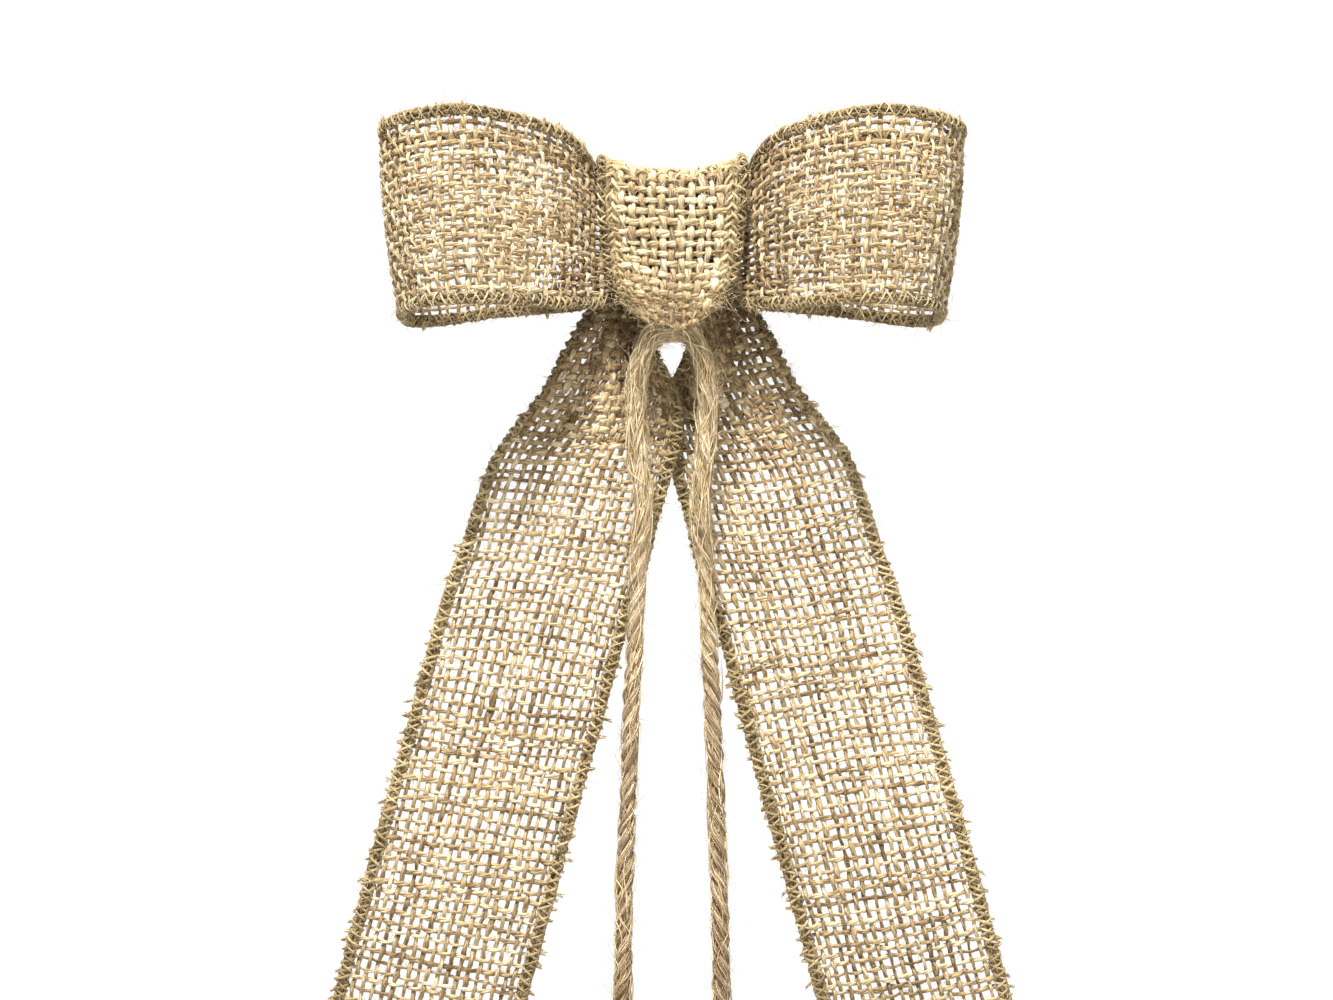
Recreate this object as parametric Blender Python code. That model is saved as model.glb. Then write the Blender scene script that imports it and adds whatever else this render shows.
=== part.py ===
"""Burlap ribbon bow with two tails and a twine tie.

The bow stands upright and faces -Y. X runs across it, Z is up, and the origin is the centre of the
flat back of the centre wrap, where the bow is pinned or wired on. Sizes are in metres.

Order of the layers at the waist, from the back (Y = 0) to the front: back of the centre wrap; the
gathered tops of the tails, with the twine binding between them; the two lapped ends of the loop
ribbon; its front layer; the front of the binding; front of the centre wrap.
"""

import math

import bpy
import numpy as np

# ---- driving dimensions ---------------------------------------------------------------------------

RIBBON_WIDTH = 0.0500  # over the stitched edges, a 2 inch ribbon
CLOTH = 0.0018  # thickness of the plain weave
EDGING_WIDTH = 0.0032  # band of overlock stitches along each edge
EDGING_THICKNESS = 0.0026
TWINE = 0.0042  # three-ply jute twine, diameter
STITCH_THREAD = 0.0010  # hidden stitching, diameter

LOOP_REACH = 0.0740  # from the middle of the bow to the outer bend of a loop
LOOP_FRONT_RISE = 0.0245  # how far a loop's front layer bulges ahead of the waist
LOOP_BACK_RISE = 0.0055  # how far its back layer falls behind the waist
WAIST_HEIGHT = 0.0240  # loop ribbon gathered inside the binding
WAIST_MIDDLE_Z = -0.0021
LAP = 0.0140  # how far each end of the loop ribbon runs past the middle
LAP_OPENING = 0.21  # how far those cut ends open again, from 0 at WAIST_HEIGHT to 1 at RIBBON_WIDTH
WRAP_EDGE_OPENING = 0.48  # how far the ribbon has opened where it comes out from under the wrap

WRAP_WIDTH = 0.0380
WRAP_TIP_WIDTH = 0.0156  # where its lower end is gathered in front of the knot
WRAP_BACK_WIDTH = 0.0290

TAIL_NECK = 0.0146  # width of a tail gathered under the wrap
TAIL_GATHER = 0.0030  # thickness of that gather
TAIL_LENGTH = 0.2200  # along a tail, from its top under the wrap to its cut end
TAIL_LEAN = math.radians(15.3)

KNOT_SIZE = (0.0052, 0.0086, 0.0092)
KNOT_CENTRE_Z = -0.0234
TWINE_DROP = 0.2130  # depth of the twine's cut ends below the origin

GAP = 0.0003  # between pieces that touch
LAYER_GAP = 0.0004  # between layers of cloth

# ---- places that follow from them -----------------------------------------------------------------

HALF_CLOTH = CLOTH / 2
HALF_EDGING = EDGING_THICKNESS / 2
TAIL_TOP_Y = -(EDGING_THICKNESS + LAYER_GAP + TAIL_GATHER / 2)
BINDING_BACK_Y = -(CLOTH + LAYER_GAP + TWINE / 2)
SLOT = max(TAIL_GATHER / 2 - TAIL_TOP_Y, TWINE / 2 - BINDING_BACK_Y)  # wrap's back to loop ribbon
LAYER_STEP = max(EDGING_THICKNESS, CLOTH) + LAYER_GAP
LAP_BACK_Y = -(SLOT + LAYER_GAP + HALF_EDGING)
LAP_FRONT_Y = LAP_BACK_Y - LAYER_STEP
LOOP_FRONT_Y = LAP_FRONT_Y - LAYER_STEP
BINDING_FRONT_Y = LOOP_FRONT_Y - HALF_EDGING - LAYER_GAP - TWINE / 2
WRAP_FRONT_Y = BINDING_FRONT_Y - TWINE / 2 - LAYER_GAP - HALF_CLOTH
WAIST_TOP_Z = WAIST_MIDDLE_Z + WAIST_HEIGHT / 2
WAIST_FOOT_Z = WAIST_MIDDLE_Z - WAIST_HEIGHT / 2
BINDING_TOP_Z = WAIST_TOP_Z + LAYER_GAP + TWINE / 2
BINDING_FOOT_Z = WAIST_FOOT_Z - LAYER_GAP - TWINE / 2
WRAP_TOP_Z = BINDING_TOP_Z + TWINE / 2 + LAYER_GAP + HALF_CLOTH
KNOT_Y = WRAP_FRONT_Y + HALF_CLOTH + 2 * LAYER_GAP + KNOT_SIZE[1] / 2
TAIL_Y = -(LAYER_STEP + LAYER_GAP + HALF_EDGING) + LAYER_STEP / 2  # between the two tails
TAIL_PIVOT = (0.0098, 0.0, -0.0080)  # X is mirrored for the left tail

JUTE = (0.58, 0.43, 0.25)
EDGING_JUTE = (0.33, 0.24, 0.12)
TWINE_JUTE = (0.52, 0.38, 0.22)
THREAD_COTTON = (0.66, 0.60, 0.48)


# ---- general helpers ------------------------------------------------------------------------------


def clear_scene():
    for obj in list(bpy.data.objects):
        bpy.data.objects.remove(obj)


def smooth_curve(points, count):
    """count points, evenly spaced along a Catmull-Rom curve through points (any number of columns).

    Only the first three columns count as place when the spacing is worked out.
    """
    p = np.asarray(points, float)
    p = np.vstack([2 * p[0] - p[1], p, 2 * p[-1] - p[-2]])
    fine = []
    for i in range(1, len(p) - 2):
        t = np.linspace(0, 1, 24, endpoint=False)[:, None]
        a, b, c, d = p[i - 1], p[i], p[i + 1], p[i + 2]
        fine.append(
            0.5
            * (
                2 * b
                + (c - a) * t
                + (2 * a - 5 * b + 4 * c - d) * t**2
                + (3 * b - a - 3 * c + d) * t**3
            )
        )
    fine = np.vstack([*fine, p[-2:-1]])
    steps = np.linalg.norm(np.diff(fine[:, :3], axis=0), axis=1)
    along = np.concatenate([[0], np.cumsum(steps)])
    wanted = np.linspace(0, along[-1], count)
    return np.stack([np.interp(wanted, along, column) for column in fine.T], axis=1)


def unit(vectors):
    return vectors / np.linalg.norm(vectors, axis=-1, keepdims=True)


def eased(x, low, high):
    """0 below low, 1 above high, and smooth between."""
    t = np.clip((np.asarray(x, float) - low) / (high - low), 0, 1)
    return t * t * (3 - 2 * t)


def bump(x, middle, spread):
    return np.exp(-(((np.asarray(x, float) - middle) / spread) ** 2))


def material(name, colour, roughness):
    mat = bpy.data.materials.new(name)
    mat.use_nodes = True
    shader = mat.node_tree.nodes["Principled BSDF"]
    shader.inputs["Base Color"].default_value = (*colour, 1)
    shader.inputs["Roughness"].default_value = roughness
    shader.inputs["Metallic"].default_value = 0
    return mat


def mesh_object(name, points, faces, colour, roughness=0.9, parent=None):
    mesh = bpy.data.meshes.new(name)
    mesh.from_pydata([tuple(map(float, p)) for p in points], [], faces)
    mesh.validate()
    obj = bpy.data.objects.new(name, mesh)
    bpy.context.scene.collection.objects.link(obj)
    mesh.materials.append(material(name, colour, roughness))
    mesh.shade_smooth()
    mesh.set_sharp_from_angle(angle=math.radians(40))
    if parent is not None:
        obj.parent = parent
        obj.matrix_parent_inverse = parent.matrix_world.inverted()
    return obj


def grid_faces(rows, columns, wrap_columns):
    """Quads of a grid of points numbered row by row."""
    last = columns if wrap_columns else columns - 1
    return [
        (
            r * columns + c,
            r * columns + (c + 1) % columns,
            (r + 1) * columns + (c + 1) % columns,
            (r + 1) * columns + c,
        )
        for r in range(rows - 1)
        for c in range(last)
    ]


def outward(points, faces):
    """The faces turned so that the closed mesh has a positive volume."""
    volume = 0.0
    for face in faces:
        a = points[face[0]]
        for b, c in zip(face[1:], face[2:]):
            volume += np.dot(a, np.cross(points[b], points[c]))
    return faces if volume > 0 else [tuple(reversed(face)) for face in faces]


def cloth_solid(name, middle, half_thickness, colour, parent=None):
    """A closed sheet round a grid of mid-surface points, with half_thickness for each row."""
    rows, columns, _ = middle.shape
    along = np.gradient(middle, axis=0)
    across = np.gradient(middle, axis=1)
    normal = unit(np.cross(along, across))
    offset = normal * np.asarray(half_thickness, float).reshape(-1, 1, 1)
    # Each row becomes a closed ring: one face of the sheet out, the other face back.
    rings = np.concatenate([middle + offset, (middle - offset)[:, ::-1]], axis=1)
    size = 2 * columns
    points = rings.reshape(-1, 3)
    faces = grid_faces(rows, size, True)
    for r in (0, rows - 1):
        quads = [
            (r * size + c, r * size + c + 1, r * size + size - 2 - c, r * size + size - 1 - c)
            for c in range(columns - 1)
        ]
        faces += quads if r else [tuple(reversed(q)) for q in quads]
    return mesh_object(name, points, outward(points, faces), colour, parent=parent)


def tube_solid(name, path, across, normal, half_width, half_height, colour, sides=6, parent=None):
    """A capped tube of elliptical section: half_width along across, half_height along normal."""
    turn = np.linspace(0, 2 * math.pi, sides, endpoint=False)
    points = (
        path[:, None]
        + half_width * np.cos(turn)[None, :, None] * across[:, None]
        + half_height * np.sin(turn)[None, :, None] * normal[:, None]
    ).reshape(-1, 3)
    faces = grid_faces(len(path), sides, True)
    faces.append(tuple(reversed(range(sides))))
    faces.append(tuple(range(len(points) - sides, len(points))))
    return mesh_object(name, points, outward(points, faces), colour, parent=parent)


def cord(name, route, count, diameter, colour):
    """A cord of round section along a smooth curve through the route's points."""
    curve = bpy.data.curves.new(name, "CURVE")
    curve.dimensions = "3D"
    curve.bevel_depth = diameter / 2
    curve.bevel_resolution = 2
    curve.use_fill_caps = True
    spline = curve.splines.new("POLY")
    points = smooth_curve(route, count)
    spline.points.add(len(points) - 1)
    for point, place in zip(spline.points, points):
        point.co = (*place, 1)
    obj = bpy.data.objects.new(name, curve)
    bpy.context.scene.collection.objects.link(obj)
    curve.materials.append(material(name, colour, 0.85))
    return obj


# ---- a ribbon between two edges -------------------------------------------------------------------


def ribbon_pieces(name, edge_a, edge_b, edging_names, half_thickness, columns, crown, parent=None):
    """Cloth and two edgings that together fill the strip between two edge lines.

    crown lifts the middle of the cloth off the straight line between its edges, as a share of the
    strip's local bulge, one value for each row.
    """
    across = unit(edge_b - edge_a)
    along = np.gradient((edge_a + edge_b) / 2, axis=0)
    normal = unit(np.cross(along, across))
    inset = EDGING_WIDTH + 2 * GAP  # twice, because the gap narrows where an edge curves in
    first, last = edge_a + across * inset, edge_b - across * inset
    share = np.linspace(0, 1, columns)
    middle = first[:, None] + (last - first)[:, None] * share[None, :, None]
    rise = np.asarray(crown, float)[:, None] * (4 * share * (1 - share))[None, :]
    middle = middle + normal[:, None] * rise[:, :, None]
    cloth_solid(name, middle, half_thickness, JUTE, parent)
    for edge, side, edging in ((edge_a, 1, edging_names[0]), (edge_b, -1, edging_names[1])):
        path = edge + across * side * EDGING_WIDTH / 2
        tube_solid(
            edging, path, across, normal, EDGING_WIDTH / 2, HALF_EDGING, EDGING_JUTE, parent=parent
        )


# ---- loops ----------------------------------------------------------------------------------------

# One loop, from the middle of the waist out along the front, round the bend and back to the waist.
# Reach of the top edge and of the bottom edge, as shares of LOOP_REACH; bulge, as a share of
# LOOP_FRONT_RISE (front) or LOOP_BACK_RISE (back); opening, from 0 at WAIST_HEIGHT to 1 at
# RIBBON_WIDTH; and height of the ribbon's middle line in metres.
LOOP_FRONT = (
    (0.000, 0.000, 0.00, 0.00, WAIST_MIDDLE_Z),
    (0.040, 0.040, 0.00, 0.00, WAIST_MIDDLE_Z),
    (0.162, 0.162, 0.00, 0.27, -0.0014),
    (0.257, 0.257, 0.04, WRAP_EDGE_OPENING, -0.0004),
    (0.300, 0.298, 0.14, 0.64, 0.0017),
    (0.345, 0.338, 0.29, 0.77, 0.0031),
    (0.400, 0.388, 0.46, 0.85, 0.0039),
    (0.540, 0.527, 0.83, 0.93, 0.0052),
    (0.703, 0.676, 1.00, 0.98, 0.0060),
    (0.862, 0.811, 0.87, 0.96, 0.0053),
    (0.958, 0.893, 0.54, 0.95, 0.0040),
    (0.986, 0.916, 0.16, 0.95, 0.0026),
)
LOOP_BACK = (
    (0.948, 0.885, 0.00, 0.96, 0.0015),
    (0.805, 0.770, 0.90, 0.97, 0.0025),
    (0.622, 0.608, 0.94, 0.95, 0.0040),
    (0.432, 0.432, 0.25, 0.76, 0.0025),
    (0.340, 0.340, 0.00, 0.62, 0.0010),
    (0.257, 0.257, 0.00, 0.44, 0.0002),
    (0.135, 0.135, 0.00, 0.21, -0.0008),
    (0.040, 0.040, 0.00, 0.00, WAIST_MIDDLE_Z),
    (0.000, 0.000, 0.00, 0.00, WAIST_MIDDLE_Z),
)


def ribbon_height(opening):
    return WAIST_HEIGHT + (RIBBON_WIDTH - WAIST_HEIGHT) * opening


def loop_stations(side, back_y):
    """Rows of (top x, y, z, bottom x, y, z) for one loop; side is -1 on the left and 1 on the right."""
    rows = []
    for table, start_y, rise in (
        (LOOP_FRONT, LOOP_FRONT_Y, -LOOP_FRONT_RISE),
        (LOOP_BACK, back_y, LOOP_BACK_RISE + LAP_BACK_Y - back_y),
    ):
        for top_reach, foot_reach, bulge, opening, middle_z in table:
            half = ribbon_height(opening) / 2
            y = start_y + rise * bulge
            rows.append(
                (
                    side * LOOP_REACH * top_reach, y, middle_z + half,
                    side * LOOP_REACH * foot_reach, y, middle_z - half,
                )
            )
    lap_x = -side * LAP
    half = ribbon_height(LAP_OPENING) / 2
    rows.append((lap_x, back_y, WAIST_MIDDLE_Z + half, lap_x, back_y, WAIST_MIDDLE_Z - half))
    return rows


def make_loops():
    left = loop_stations(-1, LAP_BACK_Y)
    right = loop_stations(1, LAP_FRONT_Y)
    line = smooth_curve(left[::-1] + right[1:], 84)
    top, foot = line[:, :3], line[:, 3:]
    reach = np.abs(line[:, 0]) / LOOP_REACH
    crown = 0.0014 * eased(reach, 0.35, 0.75)
    ribbon_pieces(
        "loop_ribbon", foot, top, ("loop_bottom_edging", "loop_top_edging"),
        np.full(len(line), HALF_CLOTH), 6, crown,
    )
    # Stitches that close the lap, along the cut end of the ribbon's rear layer.
    x = LAP + GAP + STITCH_THREAD / 2
    half = WAIST_HEIGHT / 2 + 0.001
    route = [(x, LAP_BACK_Y, WAIST_MIDDLE_Z + share * half) for share in np.linspace(-1, 1, 12)]
    path = np.array(route)
    tube_solid(
        "loop_lap_stitching", path, np.tile([1.0, 0, 0], (12, 1)), np.tile([0, 1.0, 0], (12, 1)),
        STITCH_THREAD / 2, STITCH_THREAD / 2, THREAD_COTTON,
    )


# ---- tails ----------------------------------------------------------------------------------------

# Middle line of the right tail near the knot: x, z, tilt of the weft in degrees (down towards the
# other tail) and opening, from 0 at TAIL_NECK to 1 at RIBBON_WIDTH. Below it the tail runs straight.
TAIL_TOP = (
    (0.0098, -0.0080, 0.0, 0.00),
    (0.0120, -0.0148, 2.0, 0.01),
    (0.0144, -0.0220, 3.4, 0.10),
    (0.0153, -0.0298, 3.7, 0.29),
    (0.0154, -0.0392, 3.0, 0.56),
    (0.0184, -0.0487, 3.5, 0.77),
    (0.0228, -0.0580, 5.0, 0.89),
    (0.0267, -0.0690, 5.2, 0.93),
    (0.0302, -0.0817, 6.4, 0.95),
    (0.0350, -0.0953, 7.3, 0.96),
)
TAIL_TOP_LENGTH = 0.0930  # along those points
TAIL_END_TILT = 11.0


def tail_line(side, rows):
    """Rows of (middle x, z, half the weft's x and z, distance from the top) down one tail."""
    stations = [list(row) for row in TAIL_TOP]
    x, z, tilt, opening = TAIL_TOP[-1]
    left_over = TAIL_LENGTH - TAIL_TOP_LENGTH
    for share in (0.25, 0.5, 0.75, 1.0):
        down = left_over * share
        stations.append(
            [
                x + math.sin(TAIL_LEAN) * down,
                z - math.cos(TAIL_LEAN) * down,
                tilt + (TAIL_END_TILT - tilt) * share,
                opening,
            ]
        )
    line = smooth_curve([(s[0], s[1], 0.0, s[2], s[3]) for s in stations], rows)
    tilt = np.radians(line[:, 3])
    half = (TAIL_NECK + (RIBBON_WIDTH - TAIL_NECK) * line[:, 4]) / 2
    middle = np.stack([side * line[:, 0], np.zeros(rows), line[:, 1]], axis=1)
    inward = np.stack([-side * np.cos(tilt) * half, np.zeros(rows), -np.sin(tilt) * half], axis=1)
    steps = np.linalg.norm(np.diff(line[:, :2], axis=0), axis=1)
    return middle, inward, np.concatenate([[0], np.cumsum(steps)])


def tail_depth(side, along, outer):
    """Y of a tail's mid-surface. outer is 1 at the outer edge and 0 at the inner edge."""
    # The left tail lies in front of the right one where their inner edges cross.
    apart = eased(along, 0.012, 0.026) * (1 - 0.8 * eased(along, 0.100, 0.150))
    y = TAIL_TOP_Y + (TAIL_Y - TAIL_TOP_Y) * eased(along, 0.006, 0.026)
    y = y + side * apart * LAYER_STEP / 2
    y = y - 0.0030 * bump(along, 0.055, 0.018) * outer
    lower = eased(along, 0.118, 0.150)
    wave = 0.5 - 0.5 * np.cos(2 * math.pi * (along - 0.118) / 0.095 + 0.8 * outer)
    return y - lower * 0.0036 * wave


def make_tail(side, label):
    pivot = bpy.data.objects.new(f"tail_{label}_pivot", None)
    pivot.location = (side * TAIL_PIVOT[0], TAIL_TOP_Y, TAIL_PIVOT[2])
    bpy.context.scene.collection.objects.link(pivot)
    bpy.context.view_layer.update()
    middle, inward, along = tail_line(side, 44)
    outer_edge, inner_edge = middle - inward, middle + inward
    outer_edge[:, 1] = tail_depth(side, along, 1.0)
    inner_edge[:, 1] = tail_depth(side, along, 0.0)
    gathered = 1 - eased(along, 0.010, 0.034)
    half = HALF_CLOTH + (TAIL_GATHER / 2 - HALF_CLOTH) * gathered
    ribbon_pieces(
        f"tail_{label}", outer_edge, inner_edge,
        (f"tail_{label}_outer_edging", f"tail_{label}_inner_edging"),
        half, 8, np.zeros(len(along)), pivot,
    )


# ---- centre wrap ----------------------------------------------------------------------------------


def make_wrap():
    """The strip that starts low on the back, runs over the top and ends gathered before the knot.

    Each row gives the strip's middle (y, z), its edge (y, z) and its half width.
    """
    back_y = -HALF_CLOTH
    side_y = WRAP_FRONT_Y + 0.0027  # the front is crowned over the binding
    # The strip is pinched lower in the middle than at its edges, which ride over the opening ribbon.
    top_z = WRAP_TOP_Z
    rim = (ribbon_height(WRAP_EDGE_OPENING) - WAIST_HEIGHT) / 2 - 0.00234
    back, full, tip = WRAP_BACK_WIDTH / 2, WRAP_WIDTH / 2, WRAP_TIP_WIDTH / 2
    rows = (
        (back_y, -0.0130, back_y, -0.0130, back),
        (back_y, -0.0070, back_y, -0.0070, back),
        (back_y, 0.0000, back_y, 0.0000, back),
        (back_y, 0.0060, back_y, 0.0060, back + 0.0008),
        (back_y - 0.0002, top_z - 0.0046, back_y - 0.0002, top_z - 0.0034, back + 0.0022),
        (back_y - 0.0020, top_z - 0.0010, back_y - 0.0020, top_z + rim - 0.0024, full - 0.0012),
        (-0.0085, top_z, -0.0085, top_z + rim, full),
        (WRAP_FRONT_Y + 0.0048, top_z - 0.0003, side_y + 0.0023, top_z + rim - 0.0004, full),
        (WRAP_FRONT_Y + 0.0007, top_z - 0.0038, side_y + 0.0002, top_z + rim - 0.0041, full),
        (WRAP_FRONT_Y, 0.0040, side_y, 0.0040, full - 0.0002),
        (WRAP_FRONT_Y, -0.0050, side_y, -0.0050, full - 0.0015),
        (WRAP_FRONT_Y, -0.0130, side_y - 0.0004, -0.0120, full - 0.0028),
        (WRAP_FRONT_Y, -0.0190, side_y - 0.0012, -0.0172, (full + tip) / 2 - 0.0003),
        (WRAP_FRONT_Y + 0.0003, -0.0234, WRAP_FRONT_Y + 0.0008, -0.0214, tip),
    )
    line = smooth_curve([(0.0, r[0], r[1], r[2], r[3], r[4]) for r in rows], 40)
    centre, edge, half = line[:, 1:3], line[:, 3:5], line[:, 5]
    along = np.stack([np.zeros(len(line)), *np.gradient(centre, axis=0).T], axis=1)
    across = np.tile([1.0, 0.0, 0.0], (len(line), 1))
    normal = unit(np.cross(along, across))
    share = np.linspace(-1, 1, 7)
    # The gap to the edging opens a little where the strip narrows.
    inset = EDGING_WIDTH + GAP * (1 + 80 * np.abs(np.gradient(half)) / RIBBON_WIDTH)
    reach = (half - inset)[:, None] * share[None]
    lift = (reach / half[:, None]) ** 2
    middle = np.stack(
        [
            reach,
            centre[:, :1] + (edge - centre)[:, :1] * lift,
            centre[:, 1:] + (edge - centre)[:, 1:] * lift,
        ],
        axis=2,
    )
    cloth_solid("centre_wrap", middle, np.full(len(line), HALF_CLOTH), JUTE)
    at = (1 - EDGING_WIDTH / 2 / half) ** 2
    # On the back the edging is kept flush with the cloth's flat face.
    sunk = (HALF_EDGING - HALF_CLOTH) * (1 - eased(-centre[:, 0], 0.0015, 0.0060))
    for side, label in ((-1, "left"), (1, "right")):
        path = np.stack(
            [
                side * (half - EDGING_WIDTH / 2),
                centre[:, 0] + (edge - centre)[:, 0] * at - sunk,
                centre[:, 1] + (edge - centre)[:, 1] * at,
            ],
            axis=1,
        )
        tube_solid(
            f"wrap_{label}_edging", path, across, normal, EDGING_WIDTH / 2, HALF_EDGING, EDGING_JUTE
        )
    # Stitches that fasten the wrap's rear end over the tails.
    count = 12
    foot_z = rows[0][1] - GAP - STITCH_THREAD / 2
    span = WRAP_BACK_WIDTH / 2 - EDGING_WIDTH - GAP
    path = np.stack(
        [np.linspace(-span, span, count), np.full(count, back_y), np.full(count, foot_z)], axis=1
    )
    tube_solid(
        "wrap_end_stitching", path, np.tile([0, 1.0, 0], (count, 1)), np.tile([0, 0, 1.0], (count, 1)),
        STITCH_THREAD / 2, STITCH_THREAD / 2, THREAD_COTTON,
    )


# ---- twine ----------------------------------------------------------------------------------------


def make_binding():
    """The turn of twine that gathers the loop ribbon, from the front of the knot round to its back."""
    front, back = BINDING_FRONT_Y, BINDING_BACK_Y
    knot_top = KNOT_CENTRE_Z + KNOT_SIZE[2] / 2
    end_z = knot_top + GAP
    corner = 0.0042
    route = (
        (0, front, end_z + 0.0018),
        (0, front, end_z + 0.0060),
        (0, front, BINDING_TOP_Z - corner),
        (0, front + corner * 0.3, BINDING_TOP_Z - corner * 0.3),
        (0, front + corner, BINDING_TOP_Z),
        (0, back - corner, BINDING_TOP_Z),
        (0, back - corner * 0.3, BINDING_TOP_Z - corner * 0.3),
        (0, back, BINDING_TOP_Z - corner),
        (0, back, BINDING_FOOT_Z + corner),
        (0, back - corner * 0.3, BINDING_FOOT_Z + corner * 0.1),
        (0, back - corner, BINDING_FOOT_Z - corner * 0.35),
    )
    cord("twine_binding", route, 34, TWINE, TWINE_JUTE)


def make_knot():
    """The knot's lump: an ellipsoid turned about X."""
    rings, sides = 9, 12
    points = [(-KNOT_SIZE[0] / 2, KNOT_Y, KNOT_CENTRE_Z)]
    for ring in range(1, rings):
        lean = math.pi * ring / rings
        for k in range(sides):
            turn = 2 * math.pi * k / sides
            points.append(
                (
                    -KNOT_SIZE[0] / 2 * math.cos(lean),
                    KNOT_Y + KNOT_SIZE[1] / 2 * math.sin(lean) * math.cos(turn),
                    KNOT_CENTRE_Z + KNOT_SIZE[2] / 2 * math.sin(lean) * math.sin(turn),
                )
            )
    points.append((KNOT_SIZE[0] / 2, KNOT_Y, KNOT_CENTRE_Z))
    last = len(points) - 1
    faces = [tuple(1 + i for i in face) for face in grid_faces(rings - 1, sides, True)]
    faces += [(0, 1 + (k + 1) % sides, 1 + k) for k in range(sides)]
    faces += [(last, last - sides + k, last - sides + (k + 1) % sides) for k in range(sides)]
    points = np.array(points)
    mesh_object("twine_knot", points, outward(points, faces), TWINE_JUTE)


# Route of the right end of the twine: it arches off the knot and hangs in front of the tails.
# Its first and last points are set by the knot and by TWINE_DROP.
TWINE_ROUTE = (
    (0.0057, -0.0150, -0.0269),
    (0.0074, -0.0146, -0.0295),
    (0.0084, -0.0136, -0.0332),
    (0.0089, -0.0119, -0.0385),
    (0.0090, -0.0106, -0.0440),
    (0.0088, -0.0099, -0.0500),
    (0.0082, -0.0095, -0.0575),
    (0.0074, -0.0093, -0.0655),
    (0.0075, -0.0092, -0.0745),
    (0.0086, -0.0090, -0.0830),
    (0.0096, -0.0089, -0.1050),
    (0.0104, -0.0088, -0.1190),
    (0.0111, -0.0088, -0.1390),
    (0.0118, -0.0088, -0.1570),
    (0.0124, -0.0088, -0.1770),
)
TWINE_END_X, TWINE_END_Y = 0.0131, -0.0088


def make_twine_ends():
    start_x = KNOT_SIZE[0] / 2 + GAP + TWINE / 8  # room for the slope of its first turn
    for side, label in ((-1, "left"), (1, "right")):
        route = [(side * start_x, KNOT_Y, KNOT_CENTRE_Z - 0.0023)]
        route += [(side * x, y, z) for x, y, z in TWINE_ROUTE]
        route.append((side * TWINE_END_X, TWINE_END_Y, -TWINE_DROP))
        cord(f"twine_end_{label}", route, 24, TWINE, TWINE_JUTE)


def main():
    clear_scene()
    make_loops()
    make_tail(-1, "left")
    make_tail(1, "right")
    make_wrap()
    make_binding()
    make_knot()
    make_twine_ends()


main()
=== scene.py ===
"""Burlap ribbon bow: the looks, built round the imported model.

Every ribbon is woven thread by thread on the surface that its solid has in the frame. Its edges are
overlocked with real stitches, and the twine is laid up from three plies of fibres. Lengths are
metres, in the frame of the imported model: the bow faces -Y, Z is up, and X = 0 is its middle.
"""

import math

import bpy
import numpy as np
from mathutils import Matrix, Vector


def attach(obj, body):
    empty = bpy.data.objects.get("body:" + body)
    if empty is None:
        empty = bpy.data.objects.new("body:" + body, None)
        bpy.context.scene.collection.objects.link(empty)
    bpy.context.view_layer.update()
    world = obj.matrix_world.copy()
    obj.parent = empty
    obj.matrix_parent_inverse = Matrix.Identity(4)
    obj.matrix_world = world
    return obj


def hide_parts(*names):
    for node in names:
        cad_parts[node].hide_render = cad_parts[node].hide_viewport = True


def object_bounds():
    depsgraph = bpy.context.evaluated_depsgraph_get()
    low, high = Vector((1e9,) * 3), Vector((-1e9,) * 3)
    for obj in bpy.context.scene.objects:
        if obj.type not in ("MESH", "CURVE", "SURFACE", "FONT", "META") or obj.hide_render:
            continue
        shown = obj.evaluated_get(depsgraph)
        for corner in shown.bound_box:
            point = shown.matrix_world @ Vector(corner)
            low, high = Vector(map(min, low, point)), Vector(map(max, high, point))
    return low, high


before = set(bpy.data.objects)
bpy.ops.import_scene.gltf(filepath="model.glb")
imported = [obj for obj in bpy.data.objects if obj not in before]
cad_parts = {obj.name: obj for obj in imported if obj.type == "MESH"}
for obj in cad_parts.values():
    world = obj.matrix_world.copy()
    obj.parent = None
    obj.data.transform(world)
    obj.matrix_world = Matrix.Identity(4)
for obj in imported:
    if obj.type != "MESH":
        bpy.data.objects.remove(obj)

CAD_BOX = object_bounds()

# ---- sizes of the solids that the pieces stand for ----

RIBBON_WIDTH = 0.0500
CLOTH = 0.0018
EDGING_WIDTH = 0.0032
EDGING_THICKNESS = 0.0026
TWINE = 0.0042
STITCH_THREAD = 0.0010
LOOP_REACH = 0.0740
LOOP_FRONT_RISE = 0.0245
LOOP_BACK_RISE = 0.0055
WAIST_HEIGHT = 0.0240
WAIST_MIDDLE_Z = -0.0021
LAP = 0.0140
LAP_OPENING = 0.21
WRAP_EDGE_OPENING = 0.48
WRAP_WIDTH = 0.0380
WRAP_TIP_WIDTH = 0.0156
WRAP_BACK_WIDTH = 0.0290
TAIL_NECK = 0.0146
TAIL_GATHER = 0.0030
TAIL_LENGTH = 0.2200
TAIL_LEAN = math.radians(15.3)
KNOT_SIZE = (0.0052, 0.0086, 0.0092)
KNOT_CENTRE_Z = -0.0234
TWINE_DROP = 0.2130
GAP = 0.0003
LAYER_GAP = 0.0004

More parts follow.
